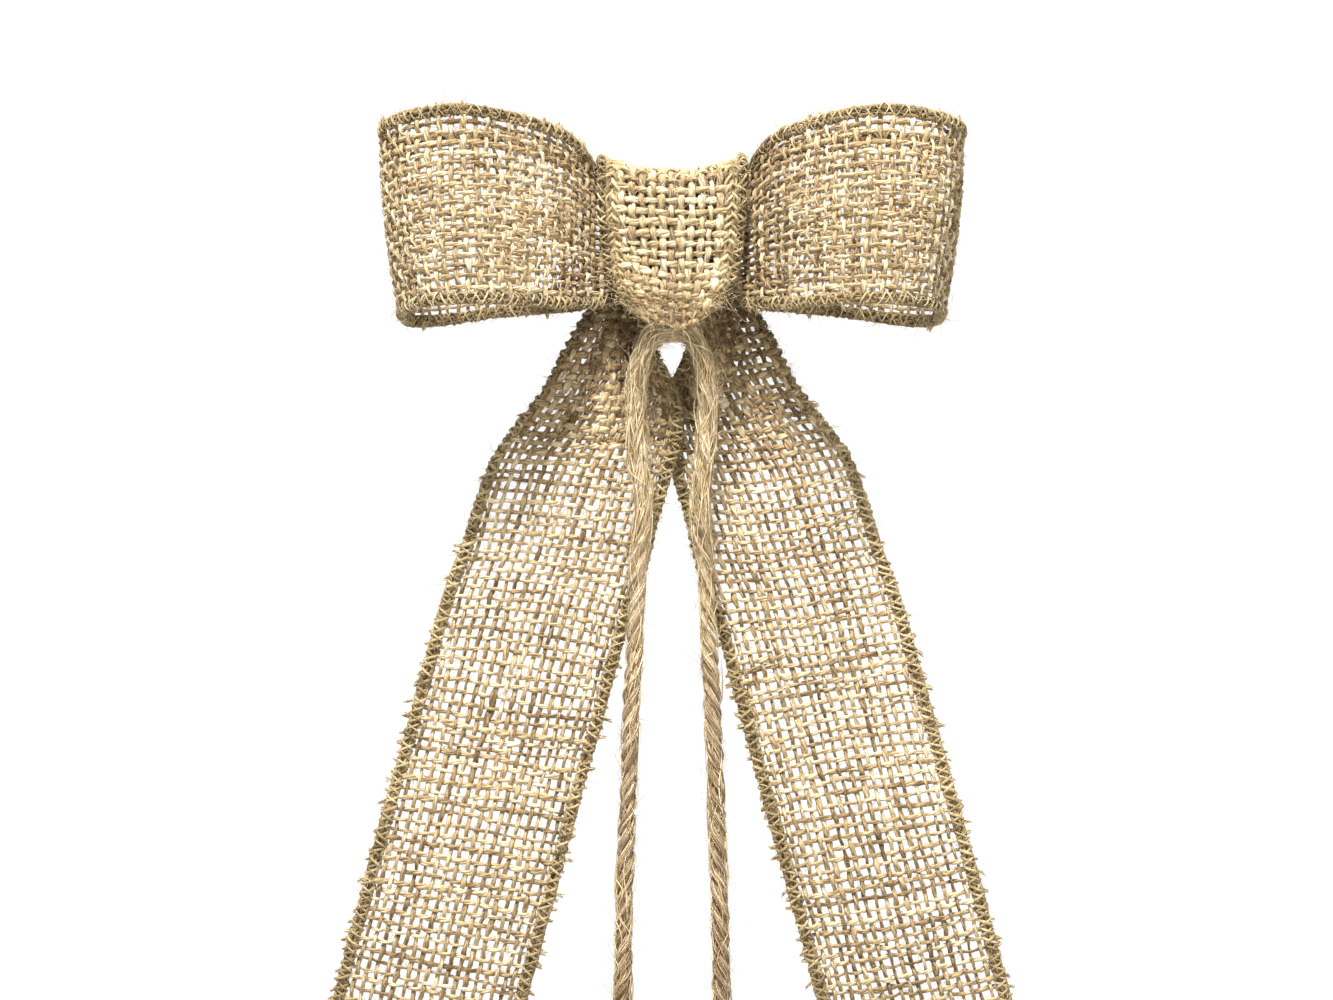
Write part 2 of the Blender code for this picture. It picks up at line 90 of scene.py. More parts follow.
HALF_CLOTH = CLOTH / 2
HALF_EDGING = EDGING_THICKNESS / 2
TAIL_TOP_Y = -(EDGING_THICKNESS + LAYER_GAP + TAIL_GATHER / 2)
BINDING_BACK_Y = -(CLOTH + LAYER_GAP + TWINE / 2)
SLOT = max(TAIL_GATHER / 2 - TAIL_TOP_Y, TWINE / 2 - BINDING_BACK_Y)
LAYER_STEP = max(EDGING_THICKNESS, CLOTH) + LAYER_GAP
LAP_BACK_Y = -(SLOT + LAYER_GAP + HALF_EDGING)
LAP_FRONT_Y = LAP_BACK_Y - LAYER_STEP
LOOP_FRONT_Y = LAP_FRONT_Y - LAYER_STEP
BINDING_FRONT_Y = LOOP_FRONT_Y - HALF_EDGING - LAYER_GAP - TWINE / 2
WRAP_FRONT_Y = BINDING_FRONT_Y - TWINE / 2 - LAYER_GAP - HALF_CLOTH
WAIST_TOP_Z = WAIST_MIDDLE_Z + WAIST_HEIGHT / 2
WAIST_FOOT_Z = WAIST_MIDDLE_Z - WAIST_HEIGHT / 2
BINDING_TOP_Z = WAIST_TOP_Z + LAYER_GAP + TWINE / 2
BINDING_FOOT_Z = WAIST_FOOT_Z - LAYER_GAP - TWINE / 2
WRAP_TOP_Z = BINDING_TOP_Z + TWINE / 2 + LAYER_GAP + HALF_CLOTH
KNOT_Y = WRAP_FRONT_Y + HALF_CLOTH + 2 * LAYER_GAP + KNOT_SIZE[1] / 2
TAIL_Y = -(LAYER_STEP + LAYER_GAP + HALF_EDGING) + LAYER_STEP / 2

# ---- sizes of the fabric's own detail ----

PITCH = 0.00267  # from one thread of the weave to the next
THREAD = 0.00112  # mean diameter of a thread
YARN_STRANDS = 3
YARN_LAY = 0.0085  # length of one turn of the strands
YARN_FLATNESS = 0.8  # height of a thread's section, as a share of its width
STRAND_OFFSET, STRAND_SIZE = 0.44, 0.58  # of a strand, as shares of its thread's radius
FIBRE_SPIN = 900  # radians that the fibres of a strand turn by, for each metre
FIBRE_SCALE = 400  # of the fibre coordinate, for each metre of a tube
FIBRE_SHIFT = 7.31  # of the fibre coordinate, from one tube to the next
HAIR = 0.00010  # thickness of a loose fibre
HAIR_POINTS = 6
CURVE_STEPS = 24  # from one point of a smooth curve to the next

# ---- small helpers -------------------


def smooth_curve(points, count):
    """count points, evenly spaced on a curve through points, whose first three columns are place."""
    fine = refine(np.asarray(points, float)[None], CURVE_STEPS)
    along = lengths_along(fine[..., :3])[0]
    wanted = np.linspace(0, along[-1], count)
    return np.stack([np.interp(wanted, along, column) for column in fine[0].T], axis=1)


def unit(vectors):
    return vectors / np.maximum(np.linalg.norm(vectors, axis=-1, keepdims=True), 1e-12)


def eased(x, low, high):
    """0 below low, 1 above high, and smooth between."""
    t = np.clip((np.asarray(x, float) - low) / (high - low), 0, 1)
    return t * t * (3 - 2 * t)


def bump(x, middle, spread):
    return np.exp(-(((np.asarray(x, float) - middle) / spread) ** 2))


def drift(rng, rows, columns, reach):
    """Noise of unit spread that changes slowly along each row, over about reach columns."""
    margin = int(math.ceil(3 * reach))
    raw = rng.normal(size=(rows, columns + 2 * margin))
    kernel = np.exp(-((np.arange(-margin, margin + 1) / reach) ** 2))
    kernel /= np.sqrt((kernel**2).sum())
    return np.stack([np.convolve(row, kernel, "valid") for row in raw])


def refine(nodes, steps):
    """Catmull-Rom curves through nodes (curve, node, value), with steps points to each node."""
    before, after = 2 * nodes[:, :1] - nodes[:, 1:2], 2 * nodes[:, -1:] - nodes[:, -2:-1]
    p = np.concatenate([before, nodes, after], axis=1)
    a, b, c, d = (p[:, k : p.shape[1] - 3 + k, None] for k in range(4))
    t = np.linspace(0, 1, steps, endpoint=False)[:, None]
    curve = 0.5 * (
        2 * b + (c - a) * t + (2 * a - 5 * b + 4 * c - d) * t**2 + (3 * b - a - 3 * c + d) * t**3
    )
    curve = curve.reshape(len(nodes), -1, nodes.shape[2])
    return np.concatenate([curve, nodes[:, -1:]], axis=1)


def lengths_along(paths):
    steps = np.linalg.norm(np.diff(paths, axis=1), axis=2)
    return np.concatenate([np.zeros((len(paths), 1)), np.cumsum(steps, axis=1)], axis=1)


def crosswise(paths, up):
    """Directions square to paths (tube, point, xyz): sideways, and as near up as may be."""
    tangent = unit(np.gradient(paths, axis=1))
    side = unit(np.cross(tangent, up))
    return side, np.cross(side, tangent)


def line_frame(line):
    """Two directions square to a line (point, xyz) and to each other, at each point."""
    tangent = unit(np.gradient(line, axis=0))
    out = unit(np.cross(tangent, (0.3, 1.0, 0.1)))
    return out, np.cross(out, tangent)


def around(out, over, turn):
    """The direction at an angle turn, from out towards over."""
    return out * np.cos(turn)[..., None] + over * np.sin(turn)[..., None]


def new_object(name, data):
    obj = bpy.data.objects.new(name, data)
    bpy.context.scene.collection.objects.link(obj)
    return obj


# ---- tubes: every thread, stitch, ply and hair is one ----


def tubes(paths, radius, up, sides, tone, flat=1.0, twist=0.0):
    """A batch of capped tubes along paths (tube, point, xyz), as arrays for joined_mesh.

    tone is the lightness handed to the material. flat squeezes the section along up. The fibre
    coordinate runs round and along each tube, turning by twist radians for each metre.
    """
    paths = np.asarray(paths, float)
    count, points, _ = paths.shape
    radius = np.broadcast_to(np.asarray(radius, float), (count, points))
    tone = np.broadcast_to(np.asarray(tone, float), (count, points))
    side, top = crosswise(paths, up)
    turn = np.arange(sides) * math.tau / sides
    ring = side[:, :, None] * np.cos(turn)[:, None]
    ring = ring + top[:, :, None] * (flat * np.sin(turn))[:, None]
    verts = paths[:, :, None] + ring * radius[:, :, None, None]
    along = lengths_along(paths)[:, :, None]
    spin = turn + twist * along
    shift = (np.arange(count) * FIBRE_SHIFT)[:, None, None]
    distance = np.broadcast_to(along * FIBRE_SCALE + shift, spin.shape)
    fibre = np.stack([np.cos(spin), np.sin(spin), distance], axis=3)
    base = (np.arange(count) * points * sides)[:, None, None]
    row = base + (np.arange(points - 1) * sides)[:, None]
    this = np.arange(sides)
    after = (this + 1) % sides
    quads = np.stack([row + this, row + after, row + sides + after, row + sides + this], axis=3)
    ends = base[:, 0] + this
    return {
        "verts": verts.reshape(-1, 3),
        "fibre": fibre.reshape(-1, 3),
        "tone": np.repeat(tone.reshape(-1), sides),
        "quads": quads.reshape(-1, 4),
        "caps": np.concatenate([ends[:, ::-1], ends + (points - 1) * sides]),
    }


def yarn(rng, paths, normal, radius, tone):
    """Threads as loosely spun bundles of strands, which wind about each thread's path."""
    count, points, _ = paths.shape
    side, top = crosswise(paths, normal)
    wound = lengths_along(paths) * math.tau / YARN_LAY
    start = rng.uniform(0, math.tau, (count, 1))
    batches = []
    for strand in range(YARN_STRANDS):
        turn = start + strand * math.tau / YARN_STRANDS + wound
        turn = turn + 0.4 * drift(rng, count, points, 7)
        out = radius * (STRAND_OFFSET + 0.05 * drift(rng, count, points, 5))
        offset = side * (out * np.cos(turn))[..., None]
        offset = offset + top * (YARN_FLATNESS * out * np.sin(turn))[..., None]
        size = np.clip(STRAND_SIZE + 0.11 * drift(rng, count, points, 5), 0.3, 0.85)
        shade = tone + 0.06 * rng.normal(size=(count, 1)) + 0.05 * drift(rng, count, points, 6)
        batches.append(
            tubes(
                paths + offset, radius * size, normal,
                sides=4, flat=YARN_FLATNESS, tone=shade, twist=FIBRE_SPIN,
            )
        )
    return batches


def joined_mesh(name, batches, material):
    """One object from several batches of tubes."""
    verts = np.concatenate([batch["verts"] for batch in batches])
    loops, starts, loop_count, vert_count = [], [], 0, 0
    for batch in batches:
        for faces in (batch["quads"], batch["caps"]):
            loops.append((faces + vert_count).reshape(-1))
            starts.append(loop_count + np.arange(len(faces)) * faces.shape[1])
            loop_count += faces.size
        vert_count += len(batch["verts"])
    loops, starts = np.concatenate(loops), np.concatenate(starts)
    mesh = bpy.data.meshes.new(name)
    mesh.vertices.add(len(verts))
    mesh.vertices.foreach_set("co", verts.astype(np.float32).ravel())
    mesh.loops.add(len(loops))
    mesh.loops.foreach_set("vertex_index", loops.astype(np.int32))
    mesh.polygons.add(len(starts))
    mesh.polygons.foreach_set("loop_start", starts.astype(np.int32))
    mesh.update(calc_edges=True)
    for key, kind, field in (("fibre", "FLOAT_VECTOR", "vector"), ("tone", "FLOAT", "value")):
        values = np.concatenate([batch[key] for batch in batches]).astype(np.float32)
        mesh.attributes.new(key, kind, "POINT").data.foreach_set(field, values.ravel())
    mesh.shade_smooth()
    mesh.materials.append(material)
    return new_object(name, mesh)


def riding(name, batches, material, body, node=None):
    """A piece that rides on a body, and replaces a node if one is named."""
    piece = joined_mesh(name, batches, material)
    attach(piece, body)
    if node is not None:
        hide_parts(node)
    return piece


# ---- materials -----------------------


def set_inputs(node, **values):
    for socket, value in values.items():
        node.inputs[socket].default_value = value


def with_nodes(owner):
    """A material or world, its node tree, and the function that links two sockets in it."""
    owner.use_nodes = True
    return owner, owner.node_tree, owner.node_tree.links.new


def new_node(tree, kind, **values):
    node = tree.nodes.new(kind)
    set_inputs(node, **values)
    return node


def fibre_material(name, dark, middle, light, roughness, sheen, streak):
    """Yarn of plant fibre: streaks along the fibres, patches along the yarn, and a fine bump."""
    mat, tree, link = with_nodes(bpy.data.materials.new(name))
    shader = tree.nodes["Principled BSDF"]
    surface = {"Sheen Weight": sheen, "Sheen Roughness": 0.6, "Specular IOR Level": 0.25}
    set_inputs(shader, Roughness=roughness, **surface)

    fibre = new_node(tree, "ShaderNodeAttribute")
    fibre.attribute_name = "fibre"
    tone = new_node(tree, "ShaderNodeAttribute")
    tone.attribute_name = "tone"
    place = new_node(tree, "ShaderNodeTexCoord")
    stretched = new_node(tree, "ShaderNodeMapping", Scale=(1.1, 1.1, 0.50))
    link(fibre.outputs["Vector"], stretched.inputs["Vector"])
    streaks = new_node(tree, "ShaderNodeTexNoise", Scale=1.0, Detail=4.0, Roughness=0.65)
    link(stretched.outputs["Vector"], streaks.inputs["Vector"])
    patches = new_node(tree, "ShaderNodeTexNoise", Scale=260.0, Detail=2.0)
    link(place.outputs["Object"], patches.inputs["Vector"])

    def maths(operation, *values):
        node = new_node(tree, "ShaderNodeMath")
        node.operation = operation
        for socket, value in zip(node.inputs, values):
            if isinstance(value, (int, float)):
                socket.default_value = value
            else:
                link(value, socket)
        return node.outputs[0]

    # Both noises are centred on 0 before they are added to the tone.
    lit = maths("MULTIPLY_ADD", streaks.outputs["Fac"], streak, -0.5 * streak)
    spots = maths("MULTIPLY_ADD", patches.outputs["Fac"], 0.5, -0.25)
    total = maths("ADD", maths("ADD", tone.outputs["Fac"], lit), spots)

    ramp = new_node(tree, "ShaderNodeValToRGB")
    stops = ramp.color_ramp.elements
    stops[0].position, stops[0].color = 0.05, (*dark, 1)
    stops[1].position, stops[1].color = 0.95, (*light, 1)
    stops.new(0.5).color = (*middle, 1)
    link(total, ramp.inputs["Fac"])
    link(ramp.outputs["Color"], shader.inputs["Base Color"])

    bumps = new_node(tree, "ShaderNodeBump", Strength=1.0, Distance=0.00016)
    link(streaks.outputs["Fac"], bumps.inputs["Height"])
    link(bumps.outputs["Normal"], shader.inputs["Normal"])
    return mat


BURLAP = fibre_material(
    "burlap_yarn", (0.115, 0.062, 0.017), (0.440, 0.315, 0.158), (0.800, 0.690, 0.480), 0.85, 0.1, 1.8
)
OVERLOCK = fibre_material(
    "overlock_yarn", (0.085, 0.058, 0.018), (0.345, 0.255, 0.120), (0.640, 0.530, 0.320), 0.85, 0.1, 1.2
)
CORE = fibre_material(
    "edge_core", (0.045, 0.028, 0.008), (0.215, 0.145, 0.062), (0.480, 0.360, 0.190), 0.9, 0.1, 1.5
)
JUTE = fibre_material(
    "jute_twine", (0.150, 0.088, 0.038), (0.500, 0.370, 0.215), (0.840, 0.740, 0.540), 0.85, 0.15, 1.5
)
FUZZ = fibre_material(
    "loose_fibre", (0.200, 0.115, 0.036), (0.630, 0.465, 0.235), (0.940, 0.820, 0.580), 0.75, 0.05, 0.3
)
COTTON = fibre_material(
    "cotton_thread", (0.400, 0.330, 0.220), (0.660, 0.580, 0.420), (0.850, 0.790, 0.640), 0.8, 0.2, 0.4
)

# ---- camera --------------------------

CAMERA_DISTANCE = 0.850
CAMERA_X, CAMERA_Z = -0.0014, -0.0670
FRAME_WIDTH = 0.3439  # of what it sees in the plane Y = 0


def make_camera():
    data = bpy.data.cameras.new("camera")
    data.sensor_width = 36
    data.lens = data.sensor_width * CAMERA_DISTANCE / FRAME_WIDTH
    data.clip_start, data.clip_end = 0.01, 20
    camera = new_object("camera", data)
    camera.location = (CAMERA_X, -CAMERA_DISTANCE, CAMERA_Z)
    camera.rotation_euler = (math.radians(90), 0, 0)
    bpy.context.scene.camera = camera


make_camera()

# ---- twine ---------------------------

TWINE_ROUTE = (
    (0.0057, -0.0150, -0.0269),
    (0.0074, -0.0146, -0.0295),
    (0.0084, -0.0136, -0.0332),
    (0.0089, -0.0119, -0.0385),
    (0.0090, -0.0106, -0.0440),
    (0.0088, -0.0099, -0.0500),
    (0.0082, -0.0095, -0.0575),
    (0.0074, -0.0093, -0.0655),
    (0.0075, -0.0092, -0.0745),
    (0.0086, -0.0090, -0.0830),
    (0.0096, -0.0089, -0.1050),
    (0.0104, -0.0088, -0.1190),
    (0.0111, -0.0088, -0.1390),
    (0.0118, -0.0088, -0.1570),
    (0.0124, -0.0088, -0.1770),
)
TWINE_END_X, TWINE_END_Y = 0.0131, -0.0088
TWINE_TWIST_PITCH = 0.0150
TWINE_LOOSE_PITCH = 0.0340  # at the knot, where the plies have opened
TWINE_START_X = KNOT_SIZE[0] / 2 + GAP + TWINE / 8
TWINE_START_Z = KNOT_CENTRE_Z - 0.0023
PLIES = 3
PLY_RADIUS = TWINE * 0.235
PLY_OFFSET = TWINE / 2 - PLY_RADIUS
PLY_STRANDS = 15
LYING_POINTS = 14


def twine_batches(line, seed, tone, side=1, loose=0.0, browning=0.0):
    """Three plies round a line, each a core with strands of fibre laid on it.

    loose is how open the twist is at each point, from 0 to 1, and browning how much darker it ends.
    """
    rng = np.random.default_rng(seed)
    count = len(line)
    out, over = line_frame(line)
    along = lengths_along(line[None])[0]
    rate = math.tau / (TWINE_TWIST_PITCH + (TWINE_LOOSE_PITCH - TWINE_TWIST_PITCH) * loose)
    rate = rate * (1 + 0.10 * drift(rng, 1, count, 16)[0])
    wound = side * np.concatenate([[0], np.cumsum(0.5 * (rate[1:] + rate[:-1]) * np.diff(along))])
    fade = np.linspace(0, 1, count) * browning
    batches = []
    for ply in range(PLIES):
        thick = PLY_RADIUS * (1 + 0.08 * drift(rng, 1, count, 10)[0])
        centre = line + PLY_OFFSET * around(out, over, wound + ply * math.tau / PLIES)
        shade = tone - 0.16 - fade + 0.06 * drift(rng, 1, count, 14)
        batches.append(
            tubes(centre[None], thick * 0.90, over, sides=10, tone=shade, twist=side * FIBRE_SPIN)
        )
        # Strands lie on the core and turn the other way, as in a laid rope.
        ply_out = unit(centre - line)
        ply_over = np.cross(ply_out, unit(np.gradient(centre, axis=0)))
        phase = np.arange(PLY_STRANDS)[:, None] * math.tau / PLY_STRANDS
        spin = phase + 0.35 * drift(rng, PLY_STRANDS, count, 8) - wound * 0.5
        radius = PLY_RADIUS * 0.19 * (1 + 0.4 * drift(rng, PLY_STRANDS, count, 6))
        proud = 0.90 + (0.05 + 0.16 * loose) * drift(rng, PLY_STRANDS, count, 9)
        lift = thick * np.clip(proud, 0.70, 1.35)
        paths = centre + lift[..., None] * around(ply_out, ply_over, spin)
        shade = tone - fade + 0.15 * rng.normal(size=(PLY_STRANDS, 1))
        shade = shade + 0.09 * drift(rng, PLY_STRANDS, count, 9)
        batches.append(
            tubes(paths, np.clip(radius, PLY_RADIUS * 0.07, None), ply_out, sides=4, tone=shade)
        )
    return batches


def lying_fibres(rng, line, count, reach, lengths, radii, tone):
    """Loose fibres that lie along a line on its surface, and start within a reach of its length."""
    along = lengths_along(line[None])[0]
    out, over = line_frame(line)
    points = LYING_POINTS
    start = rng.uniform(*reach, (count, 1)) * along[-1]
    length = rng.uniform(*lengths, (count, 1))
    at = start + length * np.linspace(0, 1, points)
    index = np.interp(np.clip(at, 0, along[-1]), along, np.arange(len(along)))
    low = np.clip(index.astype(int), 0, len(along) - 2)
    part = (index - low)[..., None]
    turn = rng.uniform(0, math.tau, (count, 1)) + 0.7 * drift(rng, count, points, 5)
    turn = turn + rng.normal(size=(count, 1)) * 0.5 * np.linspace(-1, 1, points)
    away = rng.uniform(*radii, (count, 1)) * (1 + 0.10 * drift(rng, count, points, 4))

    def between(values):
        return values[low] * (1 - part) + values[low + 1] * part

    paths = between(line) + away[..., None] * around(between(out), between(over), turn)
    radius = HAIR * rng.uniform(0.6, 2.0, (count, 1)) * np.sin(np.linspace(0.25, 2.9, points))
    shade = tone + 0.22 * rng.normal(size=(count, 1))
    return tubes(paths, radius, (0.1, 1.0, 0.2), sides=4, tone=shade)


def loose_hairs(rng, roots, heading, length, curl, tone):
    """Curly single fibres from roots, each leaving along its heading."""
    count = len(roots)
    heading = unit(heading)
    bend = unit(np.cross(heading, rng.normal(size=(count, 3))))
    wave = unit(np.cross(heading, bend))
    t = np.linspace(0, 1, HAIR_POINTS)[:, None]
    amount = curl * rng.normal(size=(count, 1, 1))
    ripple = 0.12 * rng.normal(size=(count, 1, 1))
    paths = roots[:, None] + length[:, None, None] * (
        heading[:, None] * t
        + bend[:, None] * amount * t**2
        + wave[:, None] * ripple * np.sin(t * math.pi * 1.6)
    )
    radius = HAIR / 2 * np.linspace(1.15, 0.45, HAIR_POINTS)
    tone = tone + 0.15 * rng.normal(size=(count, 1))
    return tubes(paths, radius, wave[:, None], sides=3, tone=tone)


def twine_hairs(line, seed, count, longest):
    rng = np.random.default_rng(seed)
    at = rng.integers(2, len(line) - 2, count)
    tangent = unit(np.gradient(line, axis=0))[at]
    away = unit(np.cross(tangent, rng.normal(size=(count, 3))))
    roots = line[at] + away * TWINE * 0.42
    flow = rng.choice((-1, 1), count, p=(0.7, 0.3))[:, None] * tangent
    heading = flow * rng.uniform(0.5, 1.6, (count, 1)) + away * rng.uniform(0.1, 0.9, (count, 1))
    length = longest * rng.beta(1.3, 3.0, count) + 0.0012
    return loose_hairs(rng, roots, heading, length, curl=0.35, tone=0.55)


def make_twine_ends():
    for side, label in ((-1, "left"), (1, "right")):
        route = [(side * TWINE_START_X, KNOT_Y, TWINE_START_Z)]
        route += [(side * x, y, z) for x, y, z in TWINE_ROUTE]
        route.append((side * TWINE_END_X, TWINE_END_Y, -TWINE_DROP))
        line = smooth_curve(route, 330)
        run = lengths_along(line[None])[0]
        loose = 1 - eased(run, 0.020, 0.080)
        piece = riding(
            f"twine_{label}", twine_batches(line, 40 + side, 0.62, side, loose, 0.46), JUTE,
            "bow", f"twine_end_{label}",
        )
        rng = np.random.default_rng(64 + side)
        hairs = riding(
            f"twine_{label}_hairs",
            [
                twine_hairs(line, 60 + side, 1100, 0.0075),
                twine_hairs(line[: len(line) // 3], 66 + side, 500, 0.0090),
                lying_fibres(rng, line, 150, (-0.02, 0.22), (0.008, 0.026), (0.0019, 0.0027), 0.60),
                lying_fibres(rng, line, 160, (0.15, 0.95), (0.006, 0.020), (0.0019, 0.0023), 0.46),
            ],
            FUZZ, "bow",
        )


make_twine_ends()

# The way of the knot's open fibres: x, then y and z from the knot, and how much they are lifted.
KNOT_FIBRE_ROUTE = (
    (-0.0050, -0.0028, 0.0018, 0.2),
    (-0.0015, -0.0032, -0.0004, 0.5),
    (0.0026, -0.0024, -0.0016, 1.0),
    (0.0058, -0.0010, -0.0038, 0.9),
    (0.0080, 0.0004, -0.0080, 0.6),
    (0.0090, 0.0026, -0.0140, 0.3),
    (0.0092, 0.0042, -0.0210, 0.0),
)
KNOT_FIBRE_LAYERS = ((0.0009, 0.0026, 120), (0.0030, 0.0016, 110), (0.0046, 0.0011, 60))


def make_knot_fibres():
    """Fibres of both hanging ends that have opened at the knot and cross under the wrap's tip."""
    rng = np.random.default_rng(77)
    batches = []
    for side in (-1, 1):
        for lift, spread, number in KNOT_FIBRE_LAYERS:
            route = [
                (side * x, KNOT_Y + y, KNOT_CENTRE_Z + z + lift * share)
                for x, y, z, share in KNOT_FIBRE_ROUTE
            ]
            line, radii = smooth_curve(route, 80), (spread * 0.2, spread)
            batches.append(lying_fibres(rng, line, number, (0.0, 0.55), (0.006, 0.018), radii, 0.52))
    riding("knot_fibres", batches, FUZZ, "bow")


def make_knot():
    # The bridge of the knot, from one hanging end to the other under the wrap's tip.
    x, low = TWINE_START_X, TWINE_START_Z
    bridge = smooth_curve(
        [(-x, KNOT_Y, low), (-x * 0.5, KNOT_Y, low + 0.0005), (0, KNOT_Y - 0.0003, low + 0.0006),
         (x * 0.5, KNOT_Y, low + 0.0005), (x, KNOT_Y, low)], 24,
    )
    # The turn that crosses it.
    turn = np.linspace(math.radians(-150), math.radians(150), 40)
    reach_y, reach_z = KNOT_SIZE[1] / 2 - TWINE * 0.35, KNOT_SIZE[2] / 2 - TWINE * 0.30
    y, z = KNOT_Y - reach_y * np.cos(turn), KNOT_CENTRE_Z + reach_z * np.sin(turn) + 0.0020
    crossing = np.stack([0.0003 * turn, y, z], axis=1)
    batches = twine_batches(bridge, 71, 0.55) + twine_batches(crossing, 72, 0.5)
    riding("knot", batches, JUTE, "bow", "twine_knot")


def make_binding():
    front, back, corner = BINDING_FRONT_Y, BINDING_BACK_Y, 0.0042
    end_z = KNOT_CENTRE_Z + KNOT_SIZE[2] / 2 + GAP
    route = (
        (0, front, end_z + 0.0018),
        (0, front, end_z + 0.0060),
        (0, front, BINDING_TOP_Z - corner),
        (0, front + corner * 0.3, BINDING_TOP_Z - corner * 0.3),
        (0, front + corner, BINDING_TOP_Z),
        (0, back - corner, BINDING_TOP_Z),
        (0, back - corner * 0.3, BINDING_TOP_Z - corner * 0.3),
        (0, back, BINDING_TOP_Z - corner),
        (0, back, BINDING_FOOT_Z + corner),
        (0, back - corner * 0.3, BINDING_FOOT_Z + corner * 0.1),
        (0, back - corner, BINDING_FOOT_Z - corner * 0.35),
    )
    batches = twine_batches(smooth_curve(route, 130), 73, 0.5)
    riding("binding", batches, JUTE, "bow", "twine_binding")


make_knot()
make_knot_fibres()
make_binding()

# ---- a ribbon's surface --------------


CURL_REACH = 0.0042  # how much of a margin rolls back
CURL_ANGLE = 2.4  # in radians
STRIP_COLUMNS = 121


class Strip:
    """A ribbon's mid-surface between edge lines a and b: points and normals on a fine grid."""

    cut_width = 0.0  # of a ribbon that is crowded where it is gathered

    def __init__(self, edge_a, edge_b, crown=0.0, folds=None, curl=None):
        share = np.linspace(0, 1, STRIP_COLUMNS)[None, :, None]
        across = unit(edge_b - edge_a)
        middle = (edge_a + edge_b) / 2
        normal = unit(np.cross(np.gradient(middle, axis=0), across))
        self.width = np.linalg.norm(edge_b - edge_a, axis=1)
        self.along = lengths_along(middle[None])[0]
        self.length = self.along[-1]
        rise = np.broadcast_to(np.asarray(crown, float), self.width.shape)[:, None, None]
        rise = rise * 4 * share * (1 - share)
        if folds is not None:
            rise = rise + folds(self.along[:, None, None], share)
        self.points = edge_a[:, None] + (edge_b - edge_a)[:, None] * share + normal[:, None] * rise
        if curl is not None:
            self.roll_back(curl(self.along)[:, None, None], share, across[:, None])
        tangents = np.gradient(self.points, axis=0), np.gradient(self.points, axis=1)
        self.normals = unit(np.cross(*tangents))

    def roll_back(self, amount, share, across):
        """Roll the margin next to edge a backwards, through CURL_ANGLE where amount is 1."""
        beyond = np.clip(CURL_REACH - share * self.width[:, None, None], 0, None)
        amount = np.maximum(amount, 1e-4)
        angle = beyond * amount * CURL_ANGLE / CURL_REACH
        radius = CURL_REACH / (amount * CURL_ANGLE)
        self.points = self.points + across * (beyond - radius * np.sin(angle))
        self.points = self.points + np.array([0, 1, 0]) * radius * (1 - np.cos(angle))

    def width_at(self, along):
        return np.interp(along, self.along, self.width)

    def at(self, inside, along):
        """(points, normals) at a distance inside edge a, as a share of the width, and along."""
        rows, columns, _ = self.points.shape
        r = np.clip(np.interp(along, self.along, np.arange(rows)), 0, rows - 1.001)
        c = np.clip(inside * (columns - 1), -4, columns + 3)
        i, j = r.astype(int), np.clip(np.floor(c).astype(int), 0, columns - 2)
        fr, fc = (r - i)[..., None], (c - j)[..., None]
        found = []
        for grid in (self.points, self.normals):
            near = grid[i, j] * (1 - fc) + grid[i, j + 1] * fc
            far = grid[i + 1, j] * (1 - fc) + grid[i + 1, j + 1] * fc
            found.append(near * (1 - fr) + far * fr)
        beyond = np.maximum(along - self.length, 0)[..., None] + np.minimum(along, 0)[..., None]
        direction = unit(self.points[i + 1, j] - self.points[i, j])
        return found[0] + direction * beyond, unit(found[1])
    def beside(self, edge, share, along):
        """(points, normals) at a share of the width inside edge a, which is 0, or edge b, 1."""
        return self.at(share if edge == 0 else 1 - share, along)

    def outward(self, place, along):
        """The direction from the ribbon's middle line to a place beside it."""
        middle, _ = self.at(np.full(len(along), 0.5), along)
        return unit(place - middle)

    def share_of(self, cloth, along, inset):
        """Share of the width at a share of the cloth, which lies inset inside each edge.

        Where the ribbon is gathered, the cloth next to edge a stays open, and the rest is crowded.
        """
        width = self.width_at(along)
        crowding = np.clip((self.cut_width - 2 * inset) / (width - 2 * inset), 1, 3)
        cloth = 1 - np.clip(1 - cloth, 0, None) ** crowding
        return (inset + cloth * (width - 2 * inset)) / width


def no_shadow(along):
    return np.zeros(np.shape(along))


# Unevenness of the weave: of a crossing's place, as shares of a pitch, and of a thread's radius.
SIDE_DRIFT, RISE_DRIFT, CROSSING_JITTER, BOW_DRIFT = 0.055, 0.075, 0.03, 0.25
OWN_RADIUS, RADIUS_DRIFT, SLUB = 0.12, 0.11, 0.40
SLACKENING = 0.55  # how much higher and thicker slack threads are
WEFT_OVERHANG = 0.035  # of a weft past the outermost warps, as a share of the cloth
POINTS_PER_CROSSING = 4


